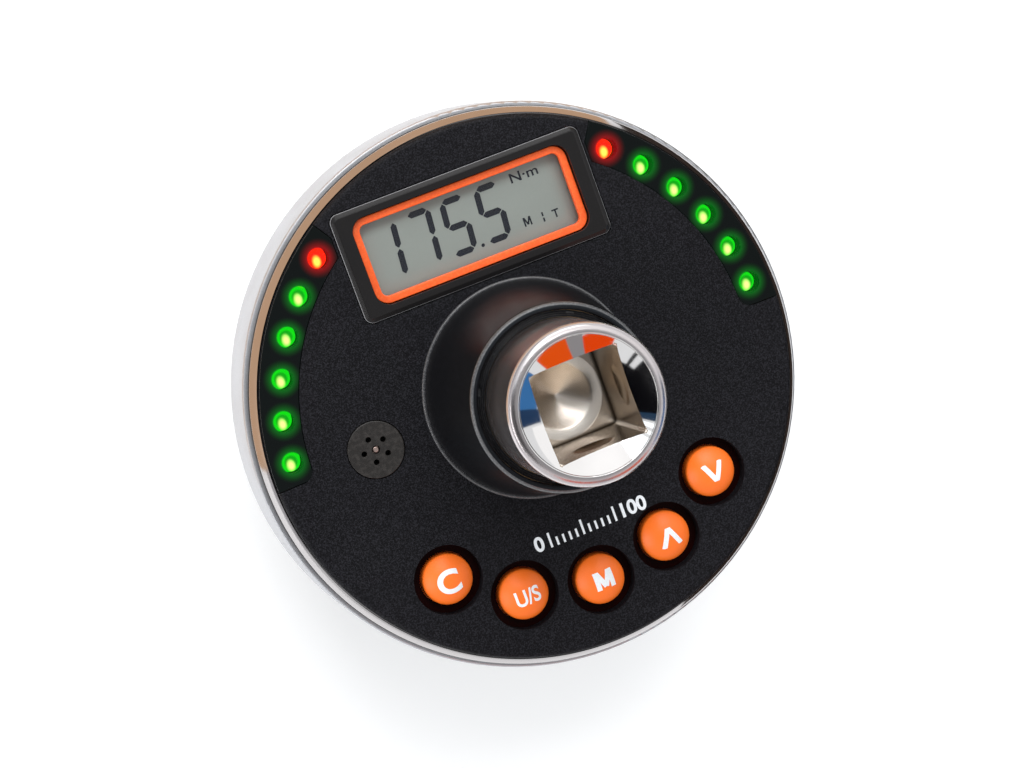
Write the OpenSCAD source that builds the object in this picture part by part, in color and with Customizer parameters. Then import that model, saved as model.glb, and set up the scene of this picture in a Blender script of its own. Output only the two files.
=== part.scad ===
// Torque tester: a round electronic gauge around a steel transducer shaft. Its hexagonal foot is held
// in a vice, and the square drive of a torque wrench goes into the socket in its head.
// Millimetres. The origin is the centre of the foot's underside, +Z runs along the torque axis towards
// the head, and +Y points to the top of the display.

/* [Face and rim] */
// Least width of the face plate outside the display bezel's corners
bezel_margin_w = 0.9; // [0.7:0.1:1.5]
// Width of the face plate outside the circle of the lamps
lamp_margin_w = 3.35; // [3.2:0.05:4]
// Thickness of the face plate
plate_t = 2.3; // [2.2:0.1:3]
// Rounding of the face plate's front edge
plate_edge_r = 0.7; // [0.4:0.1:0.9]
// Width of the dark line between the plate and the polished rim
rim_gap = 0.15; // [0.1:0.05:0.2]
// Width of the polished rim seen from the front
rim_w = 1.16; // [0.9:0.02:1.6]
// Radius of the rim's rounded outer side
rim_round_r = 3; // [2.4:0.1:4]
// Thickness of the rim's ledge that carries the plate
ledge_t = 1; // [0.8:0.1:1.2]
// Width of the rim's ledge
ledge_w = 1.4; // [1:0.1:1.5]

/* [Housing] */
// Height of the aluminium housing
house_h = 11.1; // [10.8:0.1:13]
// Step from the rim out to the housing's front edge
house_step = 0.64; // [0.4:0.02:0.8]
// How much the housing widens towards its rear
house_draft = 0.3; // [0.1:0.05:0.4]
// Thickness of the housing's wall at the rear
house_wall = 2.7; // [2.4:0.1:2.8]
// Rounding of the housing's front edge
house_edge_r = 0.4; // [0.2:0.1:0.6]
// Thickness of the housing's inner web
web_t = 3; // [2.6:0.1:3.2]
// Thickness of the two gaskets
gasket_t = 0.4; // [0.3:0.05:0.5]

/* [Foot and flange] */
// Width across the flats of the hexagonal foot
foot_af = 27; // [26:0.5:27.5]
// Height of the foot below the rear cover
foot_h = 18; // [14:1:24]
// Chamfer on the foot's corners
foot_chamfer = 0.8; // [0.4:0.1:1.4]
// Thickness of the mounting flange
flange_t = 4; // [3.6:0.1:4.4]
// Radius of the mounting flange
flange_r = 20.5; // [20.4:0.1:21]
// Width of the mounting flange beyond the foot's flats, in all
flange_extra = 1; // [0.6:0.1:1.6]
// Radius of the spigot that centres the housing
spigot_r = 10.95; // [10.6:0.05:11.2]

/* [Measuring shaft] */
// Radius of the measuring waist
waist_r = 9; // [8.4:0.1:9.6]
// Depth of the flats that carry the strain gauges
flat_depth = 0.8; // [0.5:0.1:1]
// Height of the flats
flat_h = 14; // [12:1:16]
// Radius of the journal under the head
journal_r = 10.8; // [10.5:0.05:11]
// Height of the journal
journal_h = 7.5; // [6:0.5:8]

/* [Drive head] */
// Radius of the chromed head
head_r = 11.25; // [11.1:0.05:11.6]
// Height of the head's front above the face plate
head_h = 33.1; // [31:0.5:36]
// Rounding of the head's front edge
head_edge_r = 0.7; // [0.4:0.1:1]
// Width across the flats of the square socket
square_af = 12.95; // [12.8:0.05:13.05]
// Corner rounding of the square socket
square_corner_r = 0.8; // [0.4:0.1:1]
// Depth of the square socket
square_depth = 16; // [15:0.5:17]
// Radius of the dished mouth at the head's front
mouth_r = 9.6; // [9.2:0.1:9.9]
// Slope of the dished mouth from the head's front face, half-way down
mouth_angle = 26; // [20:1:32]
// Radius of the detent groove in the square's walls
detent_r = 7.2; // [6.9:0.05:7.6]
// Depth of the detent groove's middle
detent_depth = 6; // [5.5:0.1:7]
// Radius of the pilot bore in the socket's floor
pilot_r = 4.5; // [3.5:0.1:5]
// Depth of the pilot bore's straight part
pilot_depth = 2.4; // [1.5:0.1:3]

/* [Collar] */
// Height of the collar above the face plate
collar_h = 19.85; // [18:0.25:22]
// Radius of the collar at the face plate
collar_base_r = 16.05; // [15.9:0.05:16.2]
// Radius of the collar at its top
collar_top_r = 13.44; // [13.3:0.02:13.8]
// Rounding of the collar's top edge
collar_edge_r = 0.8; // [0.4:0.1:0.9]
// Radius of the collar's upper bore
collar_bore_r = 12.35; // [12.2:0.05:12.4]
// Thickness of the collar's wall below the face plate
skirt_wall = 2.7; // [2.4:0.1:2.8]
// Radius of the collar's lower flange
collar_flange_r = 19.3; // [19.2:0.1:19.4]
// Thickness of the collar's lower flange
collar_flange_t = 2; // [1.6:0.1:2.2]
// Height of the dust seal in the collar's mouth
seal_h = 1.5; // [1.2:0.1:1.8]

/* [Display] */
// Width of the display bezel
bezel_w = 39.2; // [38.6:0.1:39.3]
// Height of the display bezel
bezel_h = 16.67; // [16.2:0.1:16.7]
// Distance of the display's middle from the torque axis
display_y = 25.64; // [25.6:0.02:25.7]
// How far the bezel stands out of the face plate
bezel_proud = 0.5; // [0.3:0.1:0.7]
// Corner rounding of the bezel
bezel_corner_r = 1.3; // [1:0.1:1.8]
// Width of the bezel's bevel
bezel_bevel = 0.7; // [0.5:0.1:0.9]
// Width of the bezel beside the coloured trim
bezel_side_w = 2.7; // [2.5:0.1:3]
// Width of the bezel above and below the coloured trim
bezel_bar_w = 1.785; // [1.6:0.005:2]
// Width of the trim's ring
trim_ring = 1.2; // [1:0.1:1.3]
// Corner rounding of the trim
trim_corner_r = 2.1; // [1.8:0.1:2.4]
// Width of the liquid crystal panel
lcd_w = 37; // [36:0.5:37.5]
// Height of the liquid crystal panel
lcd_h = 15; // [14.6:0.1:15.2]
// Thickness of the liquid crystal panel
lcd_t = 1.7; // [1.5:0.1:1.8]

/* [Lights and sound] */
// Lamps in each row
lamp_count = 6; // [4:1:6]
// Radius of the circle that the lamps stand on
lamp_circle_r = 36.9; // [36.8:0.1:37]
// Direction of the lowest lamp
lamp_first_angle = 4.2; // [4:0.1:4.6]
// Angle from one lamp to the next
lamp_step_angle = 9.5; // [9:0.1:9.6]
// Radius of a lamp
lamp_r = 1.5; // [1.3:0.05:1.5]
// Width of the smoked windows inside the circle of the lamps
pane_side_w = 2.4; // [2.2:0.1:2.7]
// Thickness of the smoked windows
pane_t = 0.7; // [0.6:0.05:0.8]
// Direction of the windows' lower end
pane_low_angle = -1; // [-2:0.5:0]
// Direction of the windows' upper end
pane_high_angle = 57; // [56.5:0.5:58]
// Corner rounding of the windows
pane_corner_r = 2; // [1.4:0.1:2.4]
// How much nearer the collar the sound grille stands than half-way from it to the smoked window
grille_shift = 0.515; // [0:0.005:0.8]
// Radius of the sound grille
grille_r = 4.25; // [4:0.05:4.4]
// Radius of the circle of sound holes
sound_circle_r = 1.84; // [1.7:0.02:2]

/* [Buttons] */
// Radius of the circle that the buttons stand on
button_circle_r = 30.71; // [30.4:0.1:31]
// Angle from one button to the next
button_step_angle = 22.2; // [22:0.1:22.6]
// Radius of a button
button_r = 3.78; // [3.6:0.02:3.9]
// Height of a button above the face plate
button_proud = 1.1; // [0.9:0.1:1.4]
// Travel of a button
button_travel = 0.6; // [0.4:0.05:0.65]
// Radius of a button's well
well_r = 5.2; // [5:0.05:5.3]
// Depth of a button's well
well_depth = 2.2; // [2.1:0.05:2.3]

/* [Rear and battery bays] */
// Depth of the rear cover
cover_h = 10.2; // [10:0.1:11]
// Step from the housing in to the rear cover
cover_step = 3; // [2.8:0.1:3.1]
// Rounding of the rear cover's edge
cover_edge_r = 2.5; // [1.5:0.1:2.8]
// Thickness of the rear cover's wall
cover_wall = 2; // [1.8:0.1:2.1]
// Thickness of the rear cover's floor
cover_floor = 2.8; // [2.6:0.1:2.9]
// Thickness of the battery lids
lid_t = 1.8; // [1.6:0.1:1.9]
// Radius of the battery lids' round side
lid_r = 36; // [35.8:0.1:36.2]
// Radius of a battery cell
cell_r = 5.25; // [5:0.05:5.3]
// Length of a battery cell
cell_len = 44.5; // [43.5:0.1:44.6]

/* [Hidden] */
$fn = 96;

// Overrun of a cut past the face it opens
cut = 0.5;
// Clearance of a plain fit between parts of the casing
fit = 0.1;
// Clearance of a loose fit
loose = 0.25;
// Clearance of the running fit of the shaft in its bush
run = 0.05;

// Heights of the main planes, counted from the foot
z_web0 = foot_h + cover_h;
z_web1 = z_web0 + web_t;
z_house1 = z_web0 + house_h;
z_rim0 = z_house1 + gasket_t;
z_plate0 = z_rim0 + ledge_t;
z_face = z_plate0 + plate_t;
z_collar1 = z_face + collar_h;
z_head1 = z_face + head_h;
z_flange0 = z_web0 - flange_t;

// The face plate reaches past the bezel's corners and the lamps, and other radii follow from it
plate_r = max(norm([bezel_w / 2, display_y + bezel_h / 2]) + bezel_margin_w, lamp_circle_r + lamp_margin_w);
seat_r = plate_r + rim_gap;
rim_r = seat_r + rim_w;
house_front_r = rim_r + house_step;
house_r = house_front_r + house_draft;
house_in_r = house_r - house_wall;
cover_r = house_r - cover_step;
cover_in_r = cover_r - cover_wall;

// Circuit board
board_drop = 5.1;
board_t = 1.6;
board_gap = 0.6;
z_board1 = z_plate0 - board_drop;
z_board0 = z_board1 - board_t;
board_r = house_in_r - board_gap;

// Collar below the face plate, and the step that holds the bush
skirt_in_r = collar_bore_r - 0.45 * (collar_bore_r - spigot_r + run);
skirt_r = skirt_in_r + skirt_wall;
plate_hole_r = collar_base_r + fit;
bead_r = 0.3;
bush_h = 5.5;
z_seal1 = z_collar1 - 0.6 * collar_edge_r;
z_seal0 = z_seal1 - seal_h;
z_bush1 = z_seal0 - 2 * fit;
z_bush0 = z_bush1 - bush_h;
z_journal0 = z_bush1 - journal_h;
z_head0 = z_bush1 + fit;

// Fasteners: shank and head sizes by thread
m2_r = 1;
m2_head_r = 1.9;
m2_head_h = 1.2;
m25_r = 1.25;
m25_head_r = 2.2;
m25_head_h = 1.6;
m3_r = 1.5;
m3_head_r = 2.8;
m3_head_h = 1.7;
m4_r = 2;
m4_head_r = 3.3;
m4_head_h = 2.4;
pilot_gap = 0.05;

// Radius of the rounded cutter that makes the detent groove
detent_tube_r = 5;

// Flange screws stand between the foot and the battery bays
flange_screw_x = 8;
flange_screw_y = 15.5;
flange_screw_len = flange_t + 0.8 * web_t;
web_fit = 0.05;

// The foot steps in by this much, this far below the rear cover
foot_step = 0.4;

// Columns of the face plate that its screws pull down onto the web
column_r = 2;
column_gap = 0.2;
column_side_r = 34;
column_top_r = seat_r - ledge_w - column_r - column_gap;
column_low_r = 24.15;
column_places = [[column_side_r, -14], [column_side_r, 194], [column_top_r, 90],
    [column_low_r, -63], [column_low_r, -117]];
face_screw_sink = 0.6 * web_t;
face_screw_len = 6;

// Board pillars on the web
pillar_circle_r = 25;
pillar_r = 2.1;
pillar_angles = [72, 108, -77, -103];
board_screw_grip = 2.2;
board_screw_len = board_t + board_screw_grip;

// Collar screws
collar_screw_angles = [45, 135, 225, 315];
collar_screw_r = (skirt_r + collar_flange_r) / 2;
collar_screw_sink = collar_flange_t / 2;
collar_screw_len = collar_flange_t - collar_screw_sink + 0.75 * web_t;

// Strain gauges on the flats and the flexible strips that lead off them
gauge_w = 4.6;
gauge_h = 6;
gauge_t = 0.2;
gauge_angles = [0, 90, 180, 270];
flat_dist = waist_r - flat_depth;
flat_drop = 1.5;
z_flat1 = z_bush0 - flat_drop;
z_gauge = z_flat1 - flat_h / 2;
flex_w = 3.4;
flex_t = 0.2;
flex_angles = [-35, 145];
flex_reach = 2.2;
flex_slot_h = 2.4;
z_flex = z_board1 + flex_t;

// Display stack, from the bezel's front down to the board
trim_w = bezel_w - 2 * bezel_side_w;
trim_h = bezel_h - 2 * bezel_bar_w;
bezel_gap = 0.15;
bezel_tab = 0.35;
bezel_tab_t = 0.6;
bezel_back_t = 0.5;
z_bezel1 = z_face + bezel_proud;
z_tab1 = z_plate0 - fit;
z_bezel0 = z_tab1 - bezel_tab_t;
z_window0 = z_bezel0 + bezel_back_t;
window_t = 0.8;
z_window1 = z_window0 + window_t;
trim_drop = 1;
z_trim0 = z_window1;
z_trim1 = z_bezel1 - trim_drop;
view_w = trim_w - 2 * trim_ring;
view_h = trim_h - 2 * trim_ring;
view_margin = 0.3;
z_lcd1 = z_bezel0 - fit;
z_lcd0 = z_lcd1 - lcd_t;
connector_w = 1.8;
connector_inset = 0.6;

// Lamps
lamp_flange_r = 1.85;
lamp_flange_h = 1;
lamp_drop = 0.4;
lamp_lead = 0.5;
lamp_lead_pitch = 1.27;
lamp_hole_r = lamp_r + loose / 2;
lamp_gap = 0.7;
lamp_clear_x = max(bezel_w, lcd_w) / 2 + lamp_flange_r + lamp_gap;
lamp_top_angle = lamp_first_angle + (lamp_count - 1) * lamp_step_angle;
row_turn = max(0, lamp_top_angle - acos(lamp_clear_x / lamp_circle_r));
pane_in_r = lamp_circle_r - pane_side_w;
pane_drop = 0.1;
pane_wall = 0.4;
z_pane1 = z_face - pane_drop;
z_pane0 = z_pane1 - pane_t;
z_lamp1 = z_pane0 - lamp_drop;
lamp_stand = 1;

// Sound grille and buzzer
grille_x = (collar_base_r + pane_in_r) / 2 - grille_shift;
grille_t = 1.5;
grille_seat_r = 3.6;
sound_hole_r = 0.42;
sound_hole_count = 5;
centre_hole_r = 0.62;
rivet_r = 0.5;
rivet_head_r = 1;
rivet_head_t = 0.4;
rivet_drop = 0.25;
buzzer_r = 4.5;
buzzer_top_gap = 0.3;
buzzer_port_r = 0.9;
buzzer_port_depth = 1.2;
buzzer_stand = 0.3;
buzzer_leg_r = 0.4;
buzzer_leg_pitch = 2.5;

// Buttons, their wells and the switches under them
button_hole_gap = 0.2;
well_floor_t = 0.9;
well_wall = 0.8;
button_flange_w = 0.75;
button_flange_t = 0.7;
button_flange_gap = 0.2;
button_shoulder = 1.8;
z_well_floor = z_face - well_depth;
z_well0 = z_well_floor - well_floor_t;
z_button_flange1 = z_well0 - button_flange_gap;
z_button0 = z_button_flange1 - button_flange_t;
z_button1 = z_face + button_proud;
switch_w = 6;
switch_h = 2.3;
plunger_r = 1.6;
plunger_gap = 0.12;
plunger_len = 2;
plunger_floor_gap = 0.3;
z_switch1 = z_board1 + switch_h;
z_plunger0 = z_button0 - plunger_len;
z_switch_bore = z_plunger0 - button_travel - plunger_floor_gap;
button_angles = [for (i = [-2:2]) -90 + i * button_step_angle];

// Battery bays beside the foot
foot_gap = 0.3;
foot_rib = 1.6;
bay_wall = 1;
bay_gap = 0.25;
bay_x = foot_af / 2 + foot_gap + foot_rib + bay_wall + bay_gap + cell_r;
positive_gap = 1.3;
negative_gap = 3.2;
bay_half_w = cell_r + bay_gap;
bay_half_l = (cell_len + positive_gap + negative_gap) / 2;
lid_gap = 0.2;
lid_margin = 2.2;
rib_h = 0.6;
rib_t = 1;
z_cell = foot_h + lid_t + 0.7 * rib_h + cell_r + bay_gap;
z_bay1 = z_cell + cell_r + bay_gap;
web_window_gap = 0.4;
lid_half_l = bay_half_l + lid_margin + bay_wall;
lid_x0 = bay_x - bay_half_w - 1.3 * bay_wall;
lid_boss_r = 2.6;
lid_boss_gap = 0.8;
lid_screw_x = bay_x + bay_half_w + bay_wall + lid_boss_gap + lid_boss_r;
lid_screw_len = 6;
grip_w = 0.9;
grip_depth = 0.5;
grip_len = 12;
grip_pitch = 2;
nub_r = 1.9;
nub_h = 1;
contact_t = 0.4;
contact_w = 7;
contact_h = 7;
tag_w = 2;
bump_r = 2;
leaf_t = 0.3;

// Rear cover screws
cover_screw_r = 32.5;
cover_screw_angles = [75, 105, 255, 285];
cover_boss_r = 3.4;
cover_screw_len = 9;
head_sink = 0.3;

// Board parts
chip_w = 9;
chip_h = 1.3;
amplifier_w = 5;
amplifier_l = 6.4;
memory_w = 4;
crystal_l = 8;
crystal_w = 3.6;
crystal_h = 1.5;
capacitor_r = 1.9;
capacitor_h = 3.2;

// Plain solids
module disc(r, z0, z1) {
    translate([0, 0, z0]) cylinder(h = z1 - z0, r = r);
}

module ring(r_out, r_in, z0, z1) {
    difference() {
        disc(r_out, z0, z1);
        disc(r_in, z0 - cut, z1 + cut);
    }
}

module block(w, d, z0, z1) {
    translate([-w / 2, -d / 2, z0]) cube([w, d, z1 - z0]);
}

module at(r, angle) {
    rotate([0, 0, angle]) translate([r, 0, 0]) children();
}

module upright(x, y) {
    translate([x, y, 0]) children();
}

module rounded_rect(w, h, r) {
    square([w - 2 * r, h], center = true);
    square([w, h - 2 * r], center = true);
    for (x = [-1, 1], y = [-1, 1]) {
        translate([x * (w / 2 - r), y * (h / 2 - r)]) circle(r);
    }
}

module rounded_slab(w, h, r, z0, z1) {
    translate([0, 0, z0]) linear_extrude(z1 - z0) rounded_rect(w, h, r);
}

// A screw that stands with its head's underside at z and its shank pointing up
module screw_up(shank_r, head_r, head_h, len, z) {
    difference() {
        union() {
            disc(shank_r - pilot_gap, z, z + len);
            disc(head_r, z - head_h, z);
        }
        translate([0, 0, z - head_h - cut]) cylinder(h = 0.6 * head_h + cut, r = shank_r, $fn = 6);
    }
}

// The same screw with its shank pointing down from z
module screw_down(shank_r, head_r, head_h, len, z) {
    translate([0, 0, 2 * z]) mirror([0, 0, 1]) screw_up(shank_r, head_r, head_h, len, z);
}

// The hexagonal foot, with its lower corners rounded off by a large sphere. It steps in just below the
// rear cover, where the faces for the vice end.
module foot_body(z1) {
    corner_r = foot_af / 2 / cos(30);
    sole_r = foot_af / 2 - foot_chamfer;
    rise = (corner_r - sole_r) * tan(30);
    sphere_z = (corner_r * corner_r - sole_r * sole_r + rise * rise) / (2 * rise);
    translate([0, 0, foot_h / 2]) rotate([0, 0, 30])
        cylinder(h = z1 - foot_h / 2, r = corner_r - foot_step / cos(30), $fn = 6);
    intersection() {
        rotate([0, 0, 30]) cylinder(h = foot_h - foot_step, r = corner_r, $fn = 6);
        translate([0, 0, sphere_z]) sphere(norm([sole_r, sphere_z]));
    }
}

module mounting_flange() {
    intersection() {
        disc(flange_r, z_flange0, z_web0);
        block(foot_af + flange_extra, 2 * flange_r, z_flange0, z_web0);
    }
}

// The shaft above the flange: spigot, waist, journal and head
module shaft_profile() {
    square([spigot_r, z_web1]);
    square([waist_r, z_journal0]);
    translate([0, z_journal0]) square([journal_r, z_head0 - z_journal0]);
    translate([0, z_head0]) square([head_r, z_head1 - head_edge_r - z_head0]);
    translate([0, z_head1 - head_edge_r]) square([head_r - head_edge_r, head_edge_r]);
    translate([head_r - head_edge_r, z_head1 - head_edge_r]) circle(head_edge_r);
}

// The square socket with its detent groove, dished mouth and drilled pilot
module square_socket() {
    z_floor = z_head1 - square_depth;
    z_pilot = z_floor - pilot_depth;
    dish_r = (mouth_r + square_af / 2) / 2 / sin(mouth_angle);
    rounded_slab(square_af, square_af, square_corner_r, z_floor, z_head1 + cut);
    translate([0, 0, z_head1 - detent_depth]) rotate_extrude() intersection() {
        translate([detent_r - detent_tube_r, 0]) circle(detent_tube_r);
        translate([0, -0.6 * detent_tube_r]) square([detent_r, 1.2 * detent_tube_r]);
    }
    translate([0, 0, z_head1 + sqrt(dish_r * dish_r - mouth_r * mouth_r)]) sphere(dish_r);
    disc(pilot_r, z_pilot, z_floor + cut);
    translate([0, 0, z_pilot - 0.5 * pilot_r])
        cylinder(h = 0.5 * pilot_r + cut, r1 = 0.1 * pilot_r, r2 = pilot_r);
}

module flange_screw_places() {
    for (x = [-1, 1], y = [-1, 1]) {
        upright(x * flange_screw_x, y * flange_screw_y) children();
    }
}

module torque_shaft() {
    color("gainsboro") difference() {
        union() {
            foot_body(z_web0 - flange_t / 2);
            mounting_flange();
            rotate_extrude() shaft_profile();
        }
        square_socket();
        for (a = gauge_angles) {
            at(flat_dist + flat_depth, a) block(2 * flat_depth, 2 * waist_r, z_flat1 - flat_h, z_flat1);
        }
        flange_screw_places() disc(m4_r + fit, z_flange0 - cut, z_web0 + cut);
    }
}

module flange_screws() {
    color("dimgray") flange_screw_places()
        screw_up(m4_r, m4_head_r, m4_head_h, flange_screw_len, z_flange0);
}

// Outer side of the housing, from its rear edge to its rounded front edge
module housing_side() {
    z_round = z_house1 - house_edge_r;
    polygon([[0, z_web0], [house_r, z_web0], [house_front_r, z_round],
        [house_front_r - house_edge_r, z_house1], [0, z_house1]]);
    translate([house_front_r - house_edge_r, z_round]) circle(house_edge_r);
}

module bay_places() {
    for (side = [-1, 1]) {
        upright(side * bay_x, 0) children();
    }
}

module housing() {
    color("silver") difference() {
        union() {
            difference() {
                rotate_extrude() housing_side();
                disc(house_in_r, z_web1, z_house1 + cut);
            }
            for (a = pillar_angles) {
                at(pillar_circle_r, a) disc(pillar_r, z_web0 + web_t / 2, z_board0);
            }
        }
        disc(spigot_r + web_fit, z_web0 - cut, z_web1 + cut);
        bay_places() block(2 * (bay_half_w + bay_wall + web_window_gap),
            2 * (bay_half_l + bay_wall + web_window_gap), z_web0 - cut, z_web1 + cut);
        flange_screw_places() disc(m4_r, z_web0 - cut, z_web0 + 0.9 * web_t);
        for (a = collar_screw_angles) {
            at(collar_screw_r, a) disc(m25_r, z_web1 - 0.85 * web_t, z_web1 + cut);
        }
        for (p = column_places) {
            at(p[0], p[1]) {
                disc(m25_r + fit, z_web0 - cut, z_web1 + cut);
                disc(m25_head_r + fit, z_web0 - cut, z_web0 + face_screw_sink);
            }
        }
        for (a = pillar_angles) {
            at(pillar_circle_r, a) disc(m2_r, z_web1 - 0.2 * web_t, z_board0 + cut);
        }
        for (a = cover_screw_angles) {
            at(cover_screw_r, a) disc(m3_r, z_web0 - cut, z_web0 + 0.9 * web_t);
        }
    }
}

// Cross-section of the polished rim: a ledge under the plate and a rounded lip around it
module rim_profile() {
    translate([seat_r - ledge_w, z_rim0]) square([ledge_w + rim_w / 2, ledge_t]);
    intersection() {
        translate([seat_r, z_rim0]) square([rim_w, ledge_t + plate_t]);
        translate([rim_r - rim_round_r, z_rim0]) circle(rim_round_r);
    }
}

module rim_ring() {
    color("whitesmoke") rotate_extrude() rim_profile();
}

module face_gasket() {
    color("black") ring(rim_r - 0.3 * rim_w, house_in_r + fit, z_house1, z_rim0);
}

module plate_blank() {
    rotate_extrude() {
        translate([0, z_plate0]) square([plate_r, plate_t - plate_edge_r]);
        translate([0, z_plate0]) square([plate_r - plate_edge_r, plate_t]);
        translate([plate_r - plate_edge_r, z_face - plate_edge_r]) circle(plate_edge_r);
    }
}

function arc(centre, r, from, to, steps) =
    [for (i = [0:steps]) let (a = from + (to - from) * i / steps) centre + r * [cos(a), sin(a)]];

// Outline of a smoked window on the right side, grown all round by grow
module pane_outline(grow) {
    r_in = pane_in_r - grow;
    r_out = plate_r - fit + 2 * grow;
    corner = pane_corner_r;
    turn = asin(corner / (r_in + corner));
    spread = grow / r_in * 180 / PI;
    low = pane_low_angle - row_turn - spread;
    high = pane_high_angle - row_turn + spread;
    high_centre = (r_in + corner) * [cos(high - turn), sin(high - turn)];
    low_centre = (r_in + corner) * [cos(low + turn), sin(low + turn)];
    difference() {
        polygon(concat(
            arc([0, 0], r_out, low, high, 48),
            arc(high_centre, corner, high + 90, high - turn + 180, 10),
            arc([0, 0], r_in, high - turn, low + turn, 48),
            arc(low_centre, corner, low + turn + 180, low + 270, 10)));
        translate([0, display_y]) rounded_rect(bezel_w + 2 * (bezel_gap + pane_wall - grow),
            bezel_h + 2 * (bezel_gap + pane_wall - grow), bezel_corner_r);
    }
}

module both_sides() {
    children();
    mirror([1, 0, 0]) children();
}

module lamp_places(first, last) {
    for (i = [first:last]) {
        at(lamp_circle_r, lamp_first_angle - row_turn + i * lamp_step_angle) children();
    }
}

module button_place(i) {
    a = button_angles[i + 2];
    upright(button_circle_r * cos(a), button_circle_r * sin(a)) children();
}

module face_plate() {
    color("#1b1b1d") difference() {
        union() {
            plate_blank();
            for (i = [-2:2]) {
                button_place(i) disc(well_r + well_wall, z_well0, z_face - plate_edge_r);
            }
            for (p = column_places) {
                at(p[0], p[1]) disc(column_r, z_web1, z_plate0 + plate_t / 2);
            }
            rotate_extrude() translate([plate_hole_r, z_face]) circle(bead_r);
        }
        disc(plate_hole_r, z_plate0 - cut, z_face + bezel_proud + cut);
        upright(0, display_y) rounded_slab(bezel_w + 2 * bezel_gap, bezel_h + 2 * bezel_gap,
            bezel_corner_r + bezel_gap, z_plate0 - cut, z_face + cut);
        for (i = [-2:2]) {
            button_place(i) disc(well_r, z_well_floor, z_face + cut);
            button_place(i) disc(button_r + button_hole_gap, z_well0 - cut, z_face + cut);
        }
        both_sides() {
            translate([0, 0, z_pane0]) linear_extrude(z_face - z_pane0 + cut) pane_outline(fit);
            lamp_places(0, lamp_count - 1) disc(lamp_hole_r, z_plate0 - cut, z_face + cut);
        }
        upright(-grille_x, 0) {
            disc(grille_r + fit, z_face - grille_t, z_face + cut);
            disc(grille_seat_r, z_plate0 - cut, z_face + cut);
        }
        for (p = column_places) {
            at(p[0], p[1]) disc(m25_r, z_web1 - cut, z_web0 + face_screw_sink + face_screw_len + fit);
        }
    }
}

module face_screws() {
    color("dimgray") for (p = column_places) {
        at(p[0], p[1])
            screw_up(m25_r, m25_head_r, m25_head_h, face_screw_len, z_web0 + face_screw_sink);
    }
}

// Cross-section of the tapered collar above the face, with a round top edge tangent to both sides
module collar_side() {
    taper = atan((collar_base_r - collar_top_r) / collar_h);
    centre_r = collar_top_r + collar_edge_r * (tan(taper) - 1 / cos(taper));
    centre_z = z_collar1 - collar_edge_r;
    polygon([[skirt_in_r, z_plate0], [collar_base_r, z_plate0], [collar_base_r, z_face],
        [centre_r + collar_edge_r * cos(taper), centre_z + collar_edge_r * sin(taper)],
        [centre_r, z_collar1], [skirt_in_r, z_collar1]]);
    translate([centre_r, centre_z]) circle(collar_edge_r);
}

module front_collar() {
    color("#202022") difference() {
        union() {
            rotate_extrude() collar_side();
            disc(skirt_r, z_web1, z_plate0 + plate_t / 2);
            intersection() {
                disc(collar_flange_r, z_web1, z_web1 + collar_flange_t);
                block(2 * (bay_x - bay_half_w - bay_wall - web_window_gap), 2 * collar_flange_r,
                    z_web1, z_web1 + collar_flange_t);
            }
        }
        disc(skirt_in_r, z_web1 - cut, z_collar1 + cut);
        disc(collar_bore_r, z_bush0, z_collar1 + cut);
        for (a = collar_screw_angles) {
            at(collar_screw_r, a) {
                disc(m25_r + fit, z_web1 - cut, z_web1 + collar_flange_t + cut);
                disc(m25_head_r + fit, z_web1 + collar_flange_t - collar_screw_sink, z_board0);
            }
        }
        for (a = flex_angles) {
            at((skirt_in_r + skirt_r) / 2, a)
                block(2 * skirt_wall, flex_w + 2 * loose, z_board1 - loose, z_board1 + flex_slot_h);
        }
    }
}

module collar_screws() {
    color("dimgray") for (a = collar_screw_angles) {
        at(collar_screw_r, a)
            screw_down(m25_r, m25_head_r, m25_head_h, collar_screw_len,
                z_web1 + collar_flange_t - collar_screw_sink);
    }
}

module collar_bush() {
    color("peru") ring(collar_bore_r, journal_r + run, z_bush0, z_bush1);
}

module shaft_seal() {
    notch_w = 1.2;
    color("#101012") difference() {
        ring(collar_bore_r - fit, head_r + fit, z_seal0, z_seal1);
        for (a = [65, 155, 245, 335]) {
            at(collar_bore_r, a) block(0.7 * notch_w, notch_w, z_seal1 - seal_h / 3, z_seal1 + cut);
        }
    }
}

module strain_gauges() {
    color("goldenrod") for (a = gauge_angles) {
        at(flat_dist + gauge_t / 2, a)
            block(gauge_t, gauge_w, z_gauge - gauge_h / 2, z_gauge + gauge_h / 2);
    }
}

// Two flexible strips that ring the waist, run down it and pass through the skirt to the board
module gauge_flex() {
    z_band = z_flat1 - flat_h - 2 * flex_w;
    reach = skirt_r + flex_reach;
    color("darkorange") {
        difference() {
            ring(waist_r + flex_t, waist_r, z_band, z_band + flex_w);
            disc(waist_r, z_band - cut, z_band + flex_w + cut);
        }
        for (a = flex_angles) {
            at((waist_r + flex_t + reach) / 2, a)
                block(reach - waist_r - flex_t, flex_w, z_flex, z_flex + flex_t);
            at(waist_r + 1.5 * flex_t, a) block(flex_t, flex_w, z_flex + flex_t, z_band + flex_w);
        }
    }
}

// The bevelled outline of the bezel: a rounded slab trimmed by two bevelled bars
module bevelled_bar(w, len) {
    rise = 0.6 * bezel_bevel;
    rotate([90, 0, 0]) translate([0, 0, -len / 2]) linear_extrude(len)
        polygon([[-w / 2, z_bezel0], [w / 2, z_bezel0], [w / 2, z_bezel1 - rise],
            [w / 2 - bezel_bevel, z_bezel1], [bezel_bevel - w / 2, z_bezel1], [-w / 2, z_bezel1 - rise]]);
}

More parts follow.
